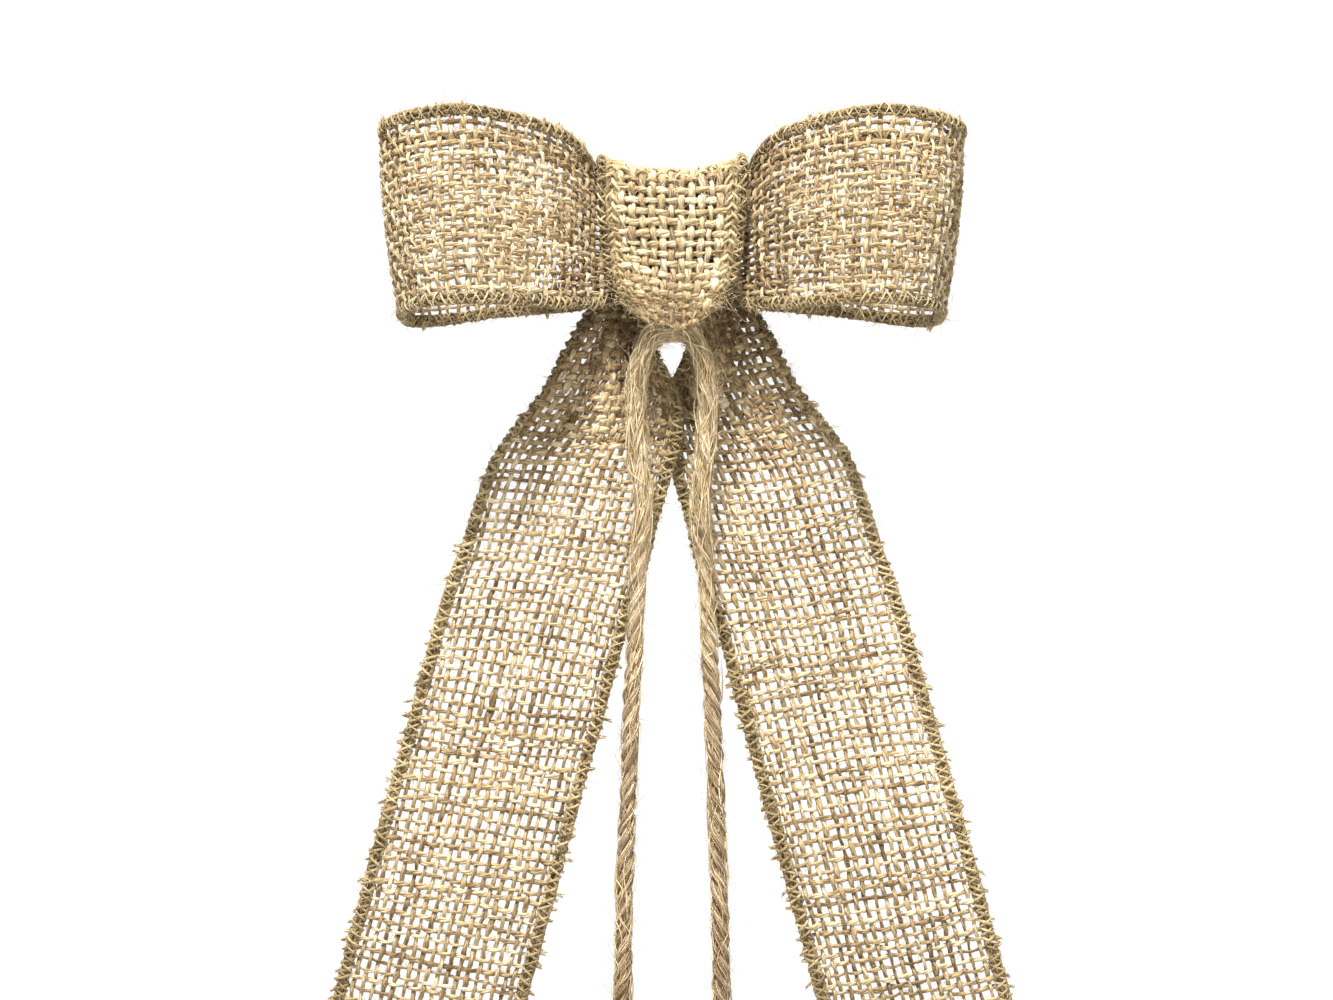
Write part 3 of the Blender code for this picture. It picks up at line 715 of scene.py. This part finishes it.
def weave(strip, seed, warps, thread, weft, tone, loose, shadow, pitch=PITCH, inset=EDGING_WIDTH,
          frayed_end=0.0, over=0.46, skew=None, slack=None, darker_warps=0.08):
    """Plain weave on a strip: the batches of its warps, along it, and of its wefts, across it.

    thread and weft are the thicknesses of warps and wefts, and loose is how uneven they lie.
    """
    rng = np.random.default_rng(seed)
    wefts = int(strip.length / pitch)
    step = strip.length / wefts
    warp_number, weft_number = np.arange(warps)[:, None], np.arange(wefts)
    # Each crossing's place: warps wander sideways along their length, and wefts up and down.
    jitter = CROSSING_JITTER * loose
    side = SIDE_DRIFT * loose * drift(rng, warps, wefts, 3.0)
    side = side + jitter * rng.normal(size=(warps, wefts))
    rise = RISE_DRIFT * loose * drift(rng, wefts, warps, 2.5).T
    rise = rise + jitter * rng.normal(size=(warps, wefts))
    bowed = BOW_DRIFT * loose * drift(rng, 1, wefts, 5.0)
    cloth = (warp_number + 0.5 + side) / warps
    along = (weft_number + 0.5 + rise + bowed * np.sin(cloth * math.pi)) * step
    height = np.where((warp_number + weft_number) % 2 == 0, 1.0, -1.0) * thread * over
    if skew is not None:
        along = along + skew(along, cloth)
    if slack is not None:
        height = height * (1 + SLACKENING * slack(along))
    kinds = []
    for kind, gauge in (("warp", thread), ("weft", weft)):
        nodes = np.stack([cloth, along, height if kind == "warp" else -height], axis=2)
        if kind == "weft":
            nodes = nodes.transpose(1, 0, 2)
        # Both ends of each thread lie flat: a warp's at the strip's ends, a weft's in its edges.
        first, last = nodes[:, :1].copy(), nodes[:, -1:].copy()
        first[..., 2], last[..., 2] = 0, 0
        if kind == "warp":
            first[..., 1] = 0
            last[..., 1] = strip.length + frayed_end * rng.uniform(0.2, 1.0, (warps, 1))
        else:
            first[..., 0], last[..., 0] = -WEFT_OVERHANG, 1 + WEFT_OVERHANG
        fine = refine(np.concatenate([first, nodes, last], axis=1), POINTS_PER_CROSSING)
        count, points, _ = fine.shape
        place, normal = strip.at(strip.share_of(fine[..., 0], fine[..., 1], inset), fine[..., 1])
        paths = place + normal * fine[..., 2:]
        own = 1 + OWN_RADIUS * rng.normal(size=(count, 1))
        slub = SLUB * np.clip(drift(rng, count, points, 9) - 1.6, 0, None)
        radius = gauge / 2 * own * (1 + RADIUS_DRIFT * drift(rng, count, points, 3) + slub)
        radius = np.clip(radius, gauge * 0.28, gauge * 0.95)
        shade = tone + 0.08 * rng.normal(size=(count, 1)) + 0.10 * drift(rng, count, points, 8)
        if kind == "warp":
            shade = shade - darker_warps
        if slack is not None:
            radius = radius * (1 + SLACKENING * slack(fine[..., 1]))
        kinds.append(yarn(rng, paths, normal, radius, shade - shadow(fine[..., 1])))
    return kinds


def hair_lengths(rng, longest, count):
    return longest * rng.beta(1.4, 3.2, count) + 0.0010


def weave_hairs(strip, seed, count, longest, spread=(0.0, 1.0), where=(0.0, 1.0), out=0.5, tone=0.5):
    """Loose fibres lying on and standing off both faces of a strip."""
    rng = np.random.default_rng(seed)
    inside = rng.uniform(*spread, count)
    along = rng.uniform(*where, count) * strip.length
    place, normal = strip.at(inside, along)
    ahead, _ = strip.at(inside, np.clip(along + 0.001, 0, strip.length))
    tangent = unit(ahead - place + 1e-9)
    face = rng.choice((-1.0, 1.0), (count, 1))
    heading = around(tangent, np.cross(normal, tangent), rng.uniform(0, math.tau, count))
    heading = heading + face * normal * rng.uniform(-0.1, out, (count, 1))
    length = hair_lengths(rng, longest, count)
    roots = place + normal * face * THREAD * 0.7 - heading * length[:, None] * 0.3
    return loose_hairs(rng, roots, heading, length, curl=0.4, tone=tone)


BAND_WARPS = 4
BAND_STEP = 0.0007
BAND_SPIN, OVERLOCK_SPIN = 1500, 3000  # radians that their fibres turn by, for each metre


def edge_band(strip, seed, edge, inset, width, thick, tone, shadow):
    """The outermost warps, which lie close together inside the stitches of an edge."""
    rng = np.random.default_rng(seed)
    count = int(strip.length / BAND_STEP)
    number = np.arange(BAND_WARPS)[:, None]
    along = np.broadcast_to(np.linspace(0, strip.length, count), (BAND_WARPS, count))
    lane = (number + 0.5 + 0.14 * drift(rng, BAND_WARPS, count, 7)) / BAND_WARPS
    share = (inset + width * (0.06 + 0.88 * lane)) / strip.width_at(along)
    place, normal = strip.beside(edge, share, along)
    height = 0.16 * thick * np.sin(along * math.pi / PITCH + number * math.pi)
    radius = width * 0.15 * (1 + 0.12 * drift(rng, BAND_WARPS, count, 5))
    shade = tone + 0.10 * drift(rng, BAND_WARPS, count, 6) - shadow(along)
    paths = place + normal * height[..., None]
    return tubes(paths, radius, normal, sides=6, flat=1.15, tone=shade, twist=BAND_SPIN)


def edge_threads(strip, seed, edge, inset, width, thick, pitch, gauge, tone, chain, shadow):
    """Overlock threads round an edge. A chain is two columns of slanting threads that meet in a V;
    otherwise the threads wind round the whole edge both ways and cross in a lattice.
    """
    rng = np.random.default_rng(seed)
    count = int(strip.length / pitch * 7)
    along = np.linspace(0, strip.length, count)
    widths = strip.width_at(along)
    batches = []
    for column in (0, 1):
        for strand in (0, 1):
            phase = math.pi * along / pitch + 0.45 * drift(rng, 1, count, 12)[0] + strand * math.pi
            angle = phase if column == 0 else math.pi - phase
            middle = width * ((0.27 + 0.46 * column) if chain else 0.5)
            reach = width * (0.25 if chain else 0.46) * (1 + 0.07 * drift(rng, 1, count, 5)[0])
            rise = thick * ((0.24 if chain else 0.41) + 0.04 * column)
            rise = rise * (1 + 0.10 * drift(rng, 1, count, 5)[0])
            share = (inset + middle + reach * np.cos(angle)) / widths
            place, normal = strip.beside(edge, share, along)
            path = place + normal * (rise * np.sin(angle))[:, None]
            radius = np.clip(gauge * (1 + 0.20 * drift(rng, 1, count, 6)), 0.00012, 0.0006)
            shade = tone + 0.14 * drift(rng, 1, count, 6) + 0.06 * rng.normal() - shadow(along)
            batches.append(
                tubes(path[None], radius, normal, sides=5, tone=shade, twist=OVERLOCK_SPIN)
            )
    return batches


def overlock(name, strip, seed, edge, body, shadow, node=None, inset=0.0, width=EDGING_WIDTH,
             thick=EDGING_THICKNESS, pitch=0.0024, gauge=0.00034, tone=0.47, core_tone=0.54,
             chain=False):
    """The edge's band and the stitches round it, as two pieces. shadow is how much darker each is."""
    band = edge_band(strip, seed, edge, inset, width, thick, core_tone, shadow)
    place = strip, seed + 50, edge, inset, width, thick
    threads = edge_threads(*place, pitch, gauge, tone, chain, shadow)
    return [
        riding(f"{name}_band", [band], CORE, body),
        riding(f"{name}_stitches", threads, OVERLOCK, body, node),
    ]


def edge_hairs(strip, seed, edge, count, longest):
    rng = np.random.default_rng(seed)
    along = rng.uniform(0.02, 0.98, count) * strip.length
    offset = rng.uniform(0.0, 1.0, count) * EDGING_WIDTH / strip.width_at(along)
    place, normal = strip.beside(edge, offset, along)
    outward = strip.outward(place, along)
    angle = rng.uniform(0, math.tau, (count, 1))
    heading = outward * (0.3 + np.cos(angle)) + np.cross(normal, outward) * np.sin(angle) * 1.3
    heading = heading + normal * rng.normal(size=(count, 1)) * 0.5
    length = hair_lengths(rng, longest, count)
    roots = place + normal * rng.choice((-1.0, 1.0), (count, 1)) * EDGING_THICKNESS * 0.4
    return loose_hairs(rng, roots, heading, length, curl=0.5, tone=0.5)


TUFT_FIBRES = 9
TUFT_RADII = (1.0, 1.1, 1.0, 0.75, 0.35)  # down a fibre, as shares of TUFT_RADIUS
TUFT_RADIUS = 0.00023
TUFT_SPREAD = 0.00050


def frayed_stubs(strip, seed, edge, chance, longest, lean=0.25):
    """Cut ends of the wefts that stick out past an edge, as small tufts of fibre."""
    rng = np.random.default_rng(seed)
    along = np.arange(0.5, strip.length / PITCH) * PITCH
    along = along[rng.random(len(along)) < chance(along)]
    along = along + rng.normal(size=len(along)) * 0.0004
    count = len(along)
    place, normal = strip.beside(edge, 0.0009 / strip.width_at(along), along)
    on_edge = np.full(count, float(edge))
    down = unit(strip.at(on_edge, along + 0.001)[0] - strip.at(on_edge, along)[0])
    heading = strip.outward(place, along) + down * (lean + 0.25 * rng.normal(size=(count, 1)))
    length = 0.0009 + longest * rng.beta(2.0, 2.4, count)
    size = rng.uniform(0.7, 1.25, count)
    t = np.linspace(0, 1, len(TUFT_RADII))
    # Each tuft's fibres start side by side and draw together into a point.
    fan = rng.normal(size=(count, TUFT_FIBRES, 2)) * (0.11, 0.09)
    own = length[:, None] * rng.uniform(0.65, 1.0, (count, TUFT_FIBRES))
    base = rng.normal(size=(count, TUFT_FIBRES, 2, 1)) * TUFT_SPREAD * size[:, None, None, None]
    base = (base * (1 - 0.8 * t))[..., None]
    place, down, heading, across = (v[:, None, None] for v in (place, down, heading, normal))
    paths = place + down * base[:, :, 0] + across * base[:, :, 1] * 0.7 + own[..., None, None] * (
        heading * t[:, None]
        + down * (fan[..., 0, None] * t**1.3)[..., None]
        + across * (fan[..., 1, None] * t**1.3)[..., None]
    )
    radius = TUFT_RADIUS * np.repeat(size, TUFT_FIBRES)[:, None] * np.array(TUFT_RADII)
    tone = 0.50 + 0.14 * rng.normal(size=(count * TUFT_FIBRES, 1))
    up = np.repeat(normal, TUFT_FIBRES, axis=0)[:, None]
    return tubes(paths.reshape(-1, len(t), 3), radius, up, sides=4, tone=tone)


def sheet_piece(name, node, threads, body):
    """A sheet's wefts, which are returned as its piece, and its warps, which go with them."""
    warps, wefts = threads
    piece = riding(f"{name}_wefts", wefts, BURLAP, body, node)
    others = [riding(f"{name}_warps", warps, BURLAP, body, node)]
    return piece


# ---- loops ---------------------------

# Reach of the top edge and of the bottom edge, as shares of LOOP_REACH; bulge; opening; middle height.
LOOP_FRONT = (
    (0.000, 0.000, 0.00, 0.00, WAIST_MIDDLE_Z),
    (0.040, 0.040, 0.00, 0.00, WAIST_MIDDLE_Z),
    (0.162, 0.162, 0.00, 0.27, -0.0014),
    (0.257, 0.257, 0.04, WRAP_EDGE_OPENING, -0.0004),
    (0.300, 0.298, 0.14, 0.64, 0.0017),
    (0.345, 0.338, 0.29, 0.77, 0.0031),
    (0.400, 0.388, 0.46, 0.85, 0.0039),
    (0.540, 0.527, 0.83, 0.93, 0.0052),
    (0.703, 0.676, 1.00, 0.98, 0.0060),
    (0.862, 0.811, 0.87, 0.96, 0.0053),
    (0.958, 0.893, 0.54, 0.95, 0.0040),
    (0.986, 0.916, 0.16, 0.95, 0.0026),
)
LOOP_BACK = (
    (0.948, 0.885, 0.00, 0.96, 0.0015),
    (0.805, 0.770, 0.90, 0.97, 0.0025),
    (0.622, 0.608, 0.94, 0.95, 0.0040),
    (0.432, 0.432, 0.25, 0.76, 0.0025),
    (0.340, 0.340, 0.00, 0.62, 0.0010),
    (0.257, 0.257, 0.00, 0.44, 0.0002),
    (0.135, 0.135, 0.00, 0.21, -0.0008),
    (0.040, 0.040, 0.00, 0.00, WAIST_MIDDLE_Z),
    (0.000, 0.000, 0.00, 0.00, WAIST_MIDDLE_Z),
)


def ribbon_height(opening):
    return WAIST_HEIGHT + (RIBBON_WIDTH - WAIST_HEIGHT) * opening


def loop_stations(side, back_y):
    """Rows of (top x, y, z, bottom x, y, z) for one loop; side is -1 on the left and 1 on the right."""
    rows = []
    for table, start_y, rise in (
        (LOOP_FRONT, LOOP_FRONT_Y, -LOOP_FRONT_RISE),
        (LOOP_BACK, back_y, LOOP_BACK_RISE + LAP_BACK_Y - back_y),
    ):
        for top_reach, foot_reach, bulge, opening, z in table:
            half, y = ribbon_height(opening) / 2, start_y + rise * bulge
            top_x, foot_x = side * LOOP_REACH * top_reach, side * LOOP_REACH * foot_reach
            rows.append((top_x, y, z + half, foot_x, y, z - half))
    lap_x, half = -side * LAP, ribbon_height(LAP_OPENING) / 2
    rows.append((lap_x, back_y, WAIST_MIDDLE_Z + half, lap_x, back_y, WAIST_MIDDLE_Z - half))
    return rows


def make_loops():
    left = loop_stations(-1, LAP_BACK_Y)
    right = loop_stations(1, LAP_FRONT_Y)
    line = smooth_curve(left[::-1] + right[1:], 720)
    top, foot = line[:, :3], line[:, 3:]
    crown = 0.0014 * eased(np.abs(line[:, 0]) / LOOP_REACH, 0.35, 0.75)
    strip = Strip(foot, top, crown)

    def loop_painted_shade(along):
        """Painted shade beside the wrap, where the ribbon is pinched, and less in the back layer."""
        reach = np.interp(along, strip.along, np.abs(line[:, 0]))
        depth = np.interp(along, strip.along, line[:, 1])
        return 0.20 * (1 - eased(reach, 0.019, 0.031)) + 0.08 * eased(depth, -0.0135, -0.0105)

    # The edges and the weave below are darkened by this painted shade.
    edges = []
    for edge, place in ((0, "bottom"), (1, "top")):
        edges += overlock(
            f"loop_{place}_edge", strip, 11 + edge, edge, "bow", loop_painted_shade, f"loop_{place}_edging",
            pitch=0.0022, gauge=0.00022, tone=0.48, core_tone=0.46,
        )
    fuzz = riding(
        "loop_fuzz",
        [
            weave_hairs(strip, 13, 4000, 0.0065, spread=(0.05, 0.95), tone=0.55),
            edge_hairs(strip, 14, 0, 1000, 0.0045),
            edge_hairs(strip, 15, 1, 1000, 0.0045),
        ],
        FUZZ, "bow",
    )
    stubs = riding(
        "loop_fray",
        [
            frayed_stubs(strip, 16, 0, lambda along: 0.30, 0.0020),
            frayed_stubs(strip, 17, 1, lambda along: 0.42, 0.0024),
        ],
        BURLAP, "bow",
    )
    sheet_piece(
        "loop", "loop_ribbon",
        weave(strip, 10, 17, thread=0.00114, weft=0.00126, tone=0.56, loose=1.1, shadow=loop_painted_shade),
        "bow",
    )


make_loops()

# ---- tails ---------------------------

# Middle line of the right tail near the knot: x, z, tilt of the weft in degrees, opening.
TAIL_TOP = (
    (0.0098, -0.0080, 0.0, 0.00),
    (0.0120, -0.0148, 2.0, 0.01),
    (0.0144, -0.0220, 3.4, 0.10),
    (0.0153, -0.0298, 3.7, 0.29),
    (0.0154, -0.0392, 3.0, 0.56),
    (0.0184, -0.0487, 3.5, 0.77),
    (0.0228, -0.0580, 5.0, 0.89),
    (0.0267, -0.0690, 5.2, 0.93),
    (0.0302, -0.0817, 6.4, 0.95),
    (0.0350, -0.0953, 7.3, 0.96),
)
TAIL_TOP_LENGTH = 0.0930
TAIL_END_TILT = 11.0
TAIL_ROWS = 420
PLEATS = 3.2  # across the gathered top of a tail
PLEAT_DEPTH = 0.0019
WAVE_START, WAVE_LENGTH, WAVE_DEPTH = 0.118, 0.095, 0.0036  # of the free end's ripple


def tail_line(side, rows):
    """Down one tail: its middle line, the way from it to the inner edge, and the distance along."""
    x, z, tilt, opening = TAIL_TOP[-1]
    stations = [(x, z, 0.0, tilt, opening) for x, z, tilt, opening in TAIL_TOP]
    for share in (0.25, 0.5, 0.75, 1.0):
        down = (TAIL_LENGTH - TAIL_TOP_LENGTH) * share
        below = x + math.sin(TAIL_LEAN) * down, z - math.cos(TAIL_LEAN) * down
        stations.append((*below, 0.0, tilt + (TAIL_END_TILT - tilt) * share, opening))
    line = smooth_curve(stations, rows)
    tilt = np.radians(line[:, 3])
    half = (TAIL_NECK + (RIBBON_WIDTH - TAIL_NECK) * line[:, 4]) / 2
    middle = np.stack([side * line[:, 0], np.zeros(rows), line[:, 1]], axis=1)
    inward = np.stack([-side * np.cos(tilt) * half, np.zeros(rows), -np.sin(tilt) * half], axis=1)
    return middle, inward, lengths_along(line[None, :, :2])[0]


def tail_depth(side, along, outer):
    """Y of a tail's mid-surface. outer is 1 at the outer edge and 0 at the inner edge."""
    apart = eased(along, 0.012, 0.026) * (1 - 0.8 * eased(along, 0.100, 0.150))
    y = TAIL_TOP_Y + (TAIL_Y - TAIL_TOP_Y) * eased(along, 0.006, 0.026)
    y = y + side * apart * LAYER_STEP / 2
    y = y - 0.0030 * bump(along, 0.055, 0.018) * outer
    lower = eased(along, WAVE_START, 0.150)
    wave = 0.5 - 0.5 * np.cos(math.tau * (along - WAVE_START) / WAVE_LENGTH + 0.8 * outer)
    return y - lower * WAVE_DEPTH * wave


def tail_folds(along, share):
    """Pleats that run down from the gathered neck and die out, as a rise of the surface.

    Next to the inner edge, where the tails cross, they only rise away from the other tail.
    """
    gathered = 1 - eased(along, 0.024, 0.062)
    cloth = 1 - (1 - share) ** (1 / (1 + 1.6 * gathered))
    inner = eased(share, 0.45, 0.85)
    deep = PLEAT_DEPTH * eased(along, 0.008, 0.018) * gathered * (0.35 + 0.65 * share)
    deep = deep * (1 - 0.45 * inner)
    return deep * (np.cos(cloth * math.tau * PLEATS + 0.6 + 9 * along) + inner)


def tail_shadow(along):
    return 0.30 * (1 - eased(along, 0.012, 0.050))


def tail_painted_shade(along):
    """Darkening of the weave: a painted shadow under the loops, painted shade where it is gathered, and
    a little towards the free end.
    """
    under = 0.25 * (1 - eased(along, 0.010, 0.032)) + 0.10 * (1 - eased(along, 0.035, 0.085))
    return under + 0.06 * eased(along, 0.090, 0.190)


def tail_slack(along):
    """1 where the weave is slack, in the gathered top, and 0 in the flat ribbon."""
    return 1 - eased(along, 0.028, 0.062)


def tail_curl(along):
    return 1 - eased(along, 0.030, 0.075)


def make_tail(side, label):
    body = f"tail_{label}"
    middle, inward, along = tail_line(side, TAIL_ROWS)
    outer_edge, inner_edge = middle - inward, middle + inward
    outer_edge[:, 1] = tail_depth(side, along, 1.0)
    inner_edge[:, 1] = tail_depth(side, along, 0.0)
    # What the rolled margin takes from the width is given back, so that the outline stays.
    angle = np.maximum(CURL_ANGLE * tail_curl(along), 1e-3)
    taken = CURL_REACH * (1 - np.sin(np.minimum(angle, math.pi / 2)) / angle)
    outer_edge[:, 0] += side * (taken - 0.0005 * tail_curl(along))
    strip = Strip(outer_edge, inner_edge, folds=tail_folds, curl=tail_curl)
    strip.cut_width = RIBBON_WIDTH
    seed = 200 if side < 0 else 300
    edges = []
    for edge, place, shadow in ((0, "outer", tail_shadow), (1, "inner", no_shadow)):
        edges += overlock(
            f"tail_{label}_{place}_edge", strip, seed + 1 + edge, edge, body, shadow,
            f"tail_{label}_{place}_edging",
        )
    fuzz = riding(
        f"tail_{label}_fuzz",
        [
            weave_hairs(strip, seed + 3, 2600, 0.0050, spread=(0.05, 0.95)),
            weave_hairs(strip, seed + 4, 650, 0.0100, where=(0.04, 0.18), out=0.9, tone=0.55),
            weave_hairs(strip, seed + 9, 550, 0.0070, where=(0.15, 0.35), out=0.7, tone=0.52),
            edge_hairs(strip, seed + 5, 0, 500, 0.0045),
            edge_hairs(strip, seed + 6, 1, 500, 0.0045),
        ],
        FUZZ, body,
    )
    stubs = riding(
        f"tail_{label}_fray",
        [
            frayed_stubs(
                strip, seed + 7, 0, lambda a: 0.10 + 0.75 * eased(a, 0.06, 0.10), 0.0028, lean=0.4
            ),
            frayed_stubs(strip, seed + 8, 1, lambda a: 0.80 * eased(a, 0.085, 0.12), 0.0028, lean=0.15),
        ],
        BURLAP, body,
    )
    # The weave is darkened by painted shade, with a painted shadow under the loops.
    sheet_piece(
        f"tail_{label}", f"tail_{label}",
        weave(strip, seed, 17, thread=0.00114, weft=0.00122, tone=0.51, loose=1.15, shadow=tail_painted_shade,
              frayed_end=0.004, slack=tail_slack),
        body,
    )


make_tail(-1, "left")
make_tail(1, "right")

# ---- centre wrap ---------------------


def wrap_rows():
    """The strip's middle (y, z), its edge (y, z) and its half width, from the back over the top."""
    back_y = -HALF_CLOTH
    side_y = WRAP_FRONT_Y + 0.0027
    top_z = WRAP_TOP_Z
    rim = (ribbon_height(WRAP_EDGE_OPENING) - WAIST_HEIGHT) / 2 - 0.00234
    back, full, tip = WRAP_BACK_WIDTH / 2, WRAP_WIDTH / 2, WRAP_TIP_WIDTH / 2
    return (
        (back_y, -0.0130, back_y, -0.0130, back),
        (back_y, -0.0070, back_y, -0.0070, back),
        (back_y, 0.0000, back_y, 0.0000, back),
        (back_y, 0.0060, back_y, 0.0060, back + 0.0008),
        (back_y - 0.0002, top_z - 0.0046, back_y - 0.0002, top_z - 0.0034, back + 0.0022),
        (back_y - 0.0020, top_z - 0.0010, back_y - 0.0020, top_z + rim - 0.0024, full - 0.0012),
        (-0.0085, top_z, -0.0085, top_z + rim, full),
        (WRAP_FRONT_Y + 0.0048, top_z - 0.0003, side_y + 0.0023, top_z + rim - 0.0004, full),
        (WRAP_FRONT_Y + 0.0007, top_z - 0.0038, side_y + 0.0002, top_z + rim - 0.0041, full),
        (WRAP_FRONT_Y, 0.0040, side_y, 0.0040, full - 0.0002),
        (WRAP_FRONT_Y, -0.0050, side_y, -0.0050, full - 0.0015),
        (WRAP_FRONT_Y, -0.0130, side_y - 0.0004, -0.0120, full - 0.0028),
        (WRAP_FRONT_Y, -0.0190, side_y - 0.0012, -0.0172, (full + tip) / 2 - 0.0003),
        (WRAP_FRONT_Y + 0.0003, -0.0234, WRAP_FRONT_Y + 0.0008, -0.0214, tip),
    )


class WrapStrip(Strip):
    """The wrap's surface, which is bowed across as a parabola between its two edges."""

    def __init__(self):
        rows, columns = 300, 61
        line = smooth_curve([(0.0, *row) for row in wrap_rows()], rows)
        centre, edge, half = line[:, 1:3], line[:, 3:5], line[:, 5]
        reach = np.linspace(-1, 1, columns) * half[:, None]
        lift = (reach / half[:, None]) ** 2
        bowed = centre[:, None] + (edge - centre)[:, None] * lift[..., None]
        self.points = np.concatenate([reach[..., None], bowed], axis=2)
        tangents = np.gradient(self.points, axis=0), np.gradient(self.points, axis=1)
        self.normals = unit(np.cross(*tangents))
        # The cloth's own width, so that its edges and threads draw together where it narrows.
        self.width = np.full(rows, WRAP_WIDTH)
        self.along = lengths_along(self.points[None, :, columns // 2])[0]
        self.length = self.along[-1]


def wrap_skew(strip):
    """Towards its tip the wrap's wefts sink to the right, where the hands pulled it down."""

    def skew(along, cloth):
        low = eased(along, strip.length - 0.026, strip.length - 0.004)
        return low * (0.0042 * (cloth - 0.5) - 0.0010 * np.abs(cloth - 0.5))

    return skew


def make_wrap():
    strip = WrapStrip()

    def tip_shadow(along):
        return 0.30 * eased(along, strip.length - 0.016, strip.length - 0.002)

    edges = []
    for edge, label in ((0, "left"), (1, "right")):
        edges += overlock(
            f"wrap_{label}_edge", strip, 21 + edge, edge, "bow", tip_shadow, f"wrap_{label}_edging",
            inset=0.0023, width=0.0034, pitch=0.0021, gauge=0.00046, tone=0.58, core_tone=0.50,
            chain=True,
        )
        edges += overlock(
            f"wrap_{label}_under_edge", strip, 31 + edge, edge, "bow", tip_shadow,
            inset=0.0002, width=0.0021, thick=0.0036, pitch=0.0019, gauge=0.00026, tone=0.40,
            core_tone=0.46,
        )
    fuzz = riding(
        "wrap_fuzz",
        [
            weave_hairs(strip, 25, 1700, 0.0060, where=(0.4, 1.0), tone=0.60),
            weave_hairs(strip, 26, 420, 0.0130, where=(0.86, 1.0), out=0.8, tone=0.58),
            weave_hairs(strip, 27, 400, 0.0050, where=(0.0, 0.4)),
        ],
        FUZZ, "bow",
    )
    sheet_piece(
        "wrap", "centre_wrap",
        weave(strip, 20, 11, thread=0.00184, weft=0.00164, tone=0.58, loose=1.1, shadow=tip_shadow,
              pitch=0.0025, inset=0.0053, over=0.42, skew=wrap_skew(strip), darker_warps=-0.03),
        "bow",
    )


make_wrap()


STITCH_DEPTH = 0.0007  # of a stitch's dip into the cloth, either way


def running_stitch(name, start, end, along_out, stitches, node):
    """A line of hand stitches from start to end that dips in and out of the cloth."""
    t = np.linspace(0, 1, stitches * 8 + 1)[:, None]
    path = np.array(start) * (1 - t) + np.array(end) * t
    path = path + np.array(along_out) * np.cos(t * math.tau * stitches) * STITCH_DEPTH
    radius, across = STITCH_THREAD * 0.42, np.array([0.2, 0.3, 0.9])
    batch = tubes(path[None], radius, across, sides=6, tone=0.55, twist=4000)
    return riding(name, [batch], COTTON, "bow", node)


def make_stitching():
    x = LAP + GAP + STITCH_THREAD / 2
    half = WAIST_HEIGHT / 2 + 0.001
    running_stitch(
        "lap_stitches", (x, LAP_BACK_Y, WAIST_MIDDLE_Z - half), (x, LAP_BACK_Y, WAIST_MIDDLE_Z + half),
        (0, 1, 0), 7, "loop_lap_stitching",
    )
    foot_z = wrap_rows()[0][1] - GAP - STITCH_THREAD / 2
    span = WRAP_BACK_WIDTH / 2 - EDGING_WIDTH - GAP
    running_stitch(
        "wrap_stitches", (-span, -HALF_CLOTH, foot_z), (span, -HALF_CLOTH, foot_z),
        (0, 0.6, 0.8), 6, "wrap_end_stitching",
    )


make_stitching()

# ---- room ----------------------------

FLOOR_BELOW = 0.012
FLOOR_REACH = 6.0
WHITE = 1.05  # brightness of the ground and the floor as the camera sees them
AMBIENT = 0.18  # brightness of the ground as the bow sees it


def make_floor():
    z = float(CAD_BOX[0].z) - FLOOR_BELOW
    corners = [(FLOOR_REACH * x, FLOOR_REACH * y, z) for x, y in ((-1, -1), (1, -1), (1, 1), (-1, 1))]
    mesh = bpy.data.meshes.new("floor")
    mesh.from_pydata(corners, [], [(0, 1, 2, 3)])
    floor = new_object("floor", mesh)
    mat, tree, link = with_nodes(bpy.data.materials.new("pale_floor"))
    shader = tree.nodes["Principled BSDF"]
    set_inputs(shader, Roughness=0.9, **{"Base Color": (0.45, 0.45, 0.45, 1)})
    white = new_node(tree, "ShaderNodeEmission", Strength=WHITE)
    seen = new_node(tree, "ShaderNodeLightPath")
    mix = new_node(tree, "ShaderNodeMixShader")
    link(seen.outputs["Is Camera Ray"], mix.inputs["Fac"])
    link(shader.outputs["BSDF"], mix.inputs[1])
    link(white.outputs["Emission"], mix.inputs[2])
    link(mix.outputs["Shader"], tree.nodes["Material Output"].inputs["Surface"])
    mesh.materials.append(mat)


def area_light(name, place, target, size, power):
    data = bpy.data.lights.new(name, "AREA")
    data.shape = "DISK"
    data.size = size
    data.energy = power
    light = new_object(name, data)
    light.location = place
    direction = Vector([t - p for t, p in zip(target, place)])
    light.rotation_euler = direction.to_track_quat("-Z", "Y").to_euler()


def make_world():
    world, tree, link = with_nodes(bpy.data.worlds.new("studio"))
    background = tree.nodes["Background"]
    set_inputs(background, Color=(1, 1, 1, 1))
    seen = new_node(tree, "ShaderNodeLightPath")
    strength = new_node(tree, "ShaderNodeMapRange", **{"To Min": AMBIENT, "To Max": WHITE})
    link(seen.outputs["Is Camera Ray"], strength.inputs["Value"])
    link(strength.outputs["Result"], background.inputs["Strength"])
    bpy.context.scene.world = world


make_floor()
make_world()
area_light("key", (-0.15, -0.62, 0.95), (0, 0, -0.06), 0.22, 37.5)
area_light("fill", (0.5, -1.2, 0.1), (0, 0, -0.08), 1.0, 8)
area_light("back", (0.3, 1.1, 0.8), (0, 0, -0.08), 0.8, 12)
bpy.context.scene.view_settings.view_transform = "Standard"
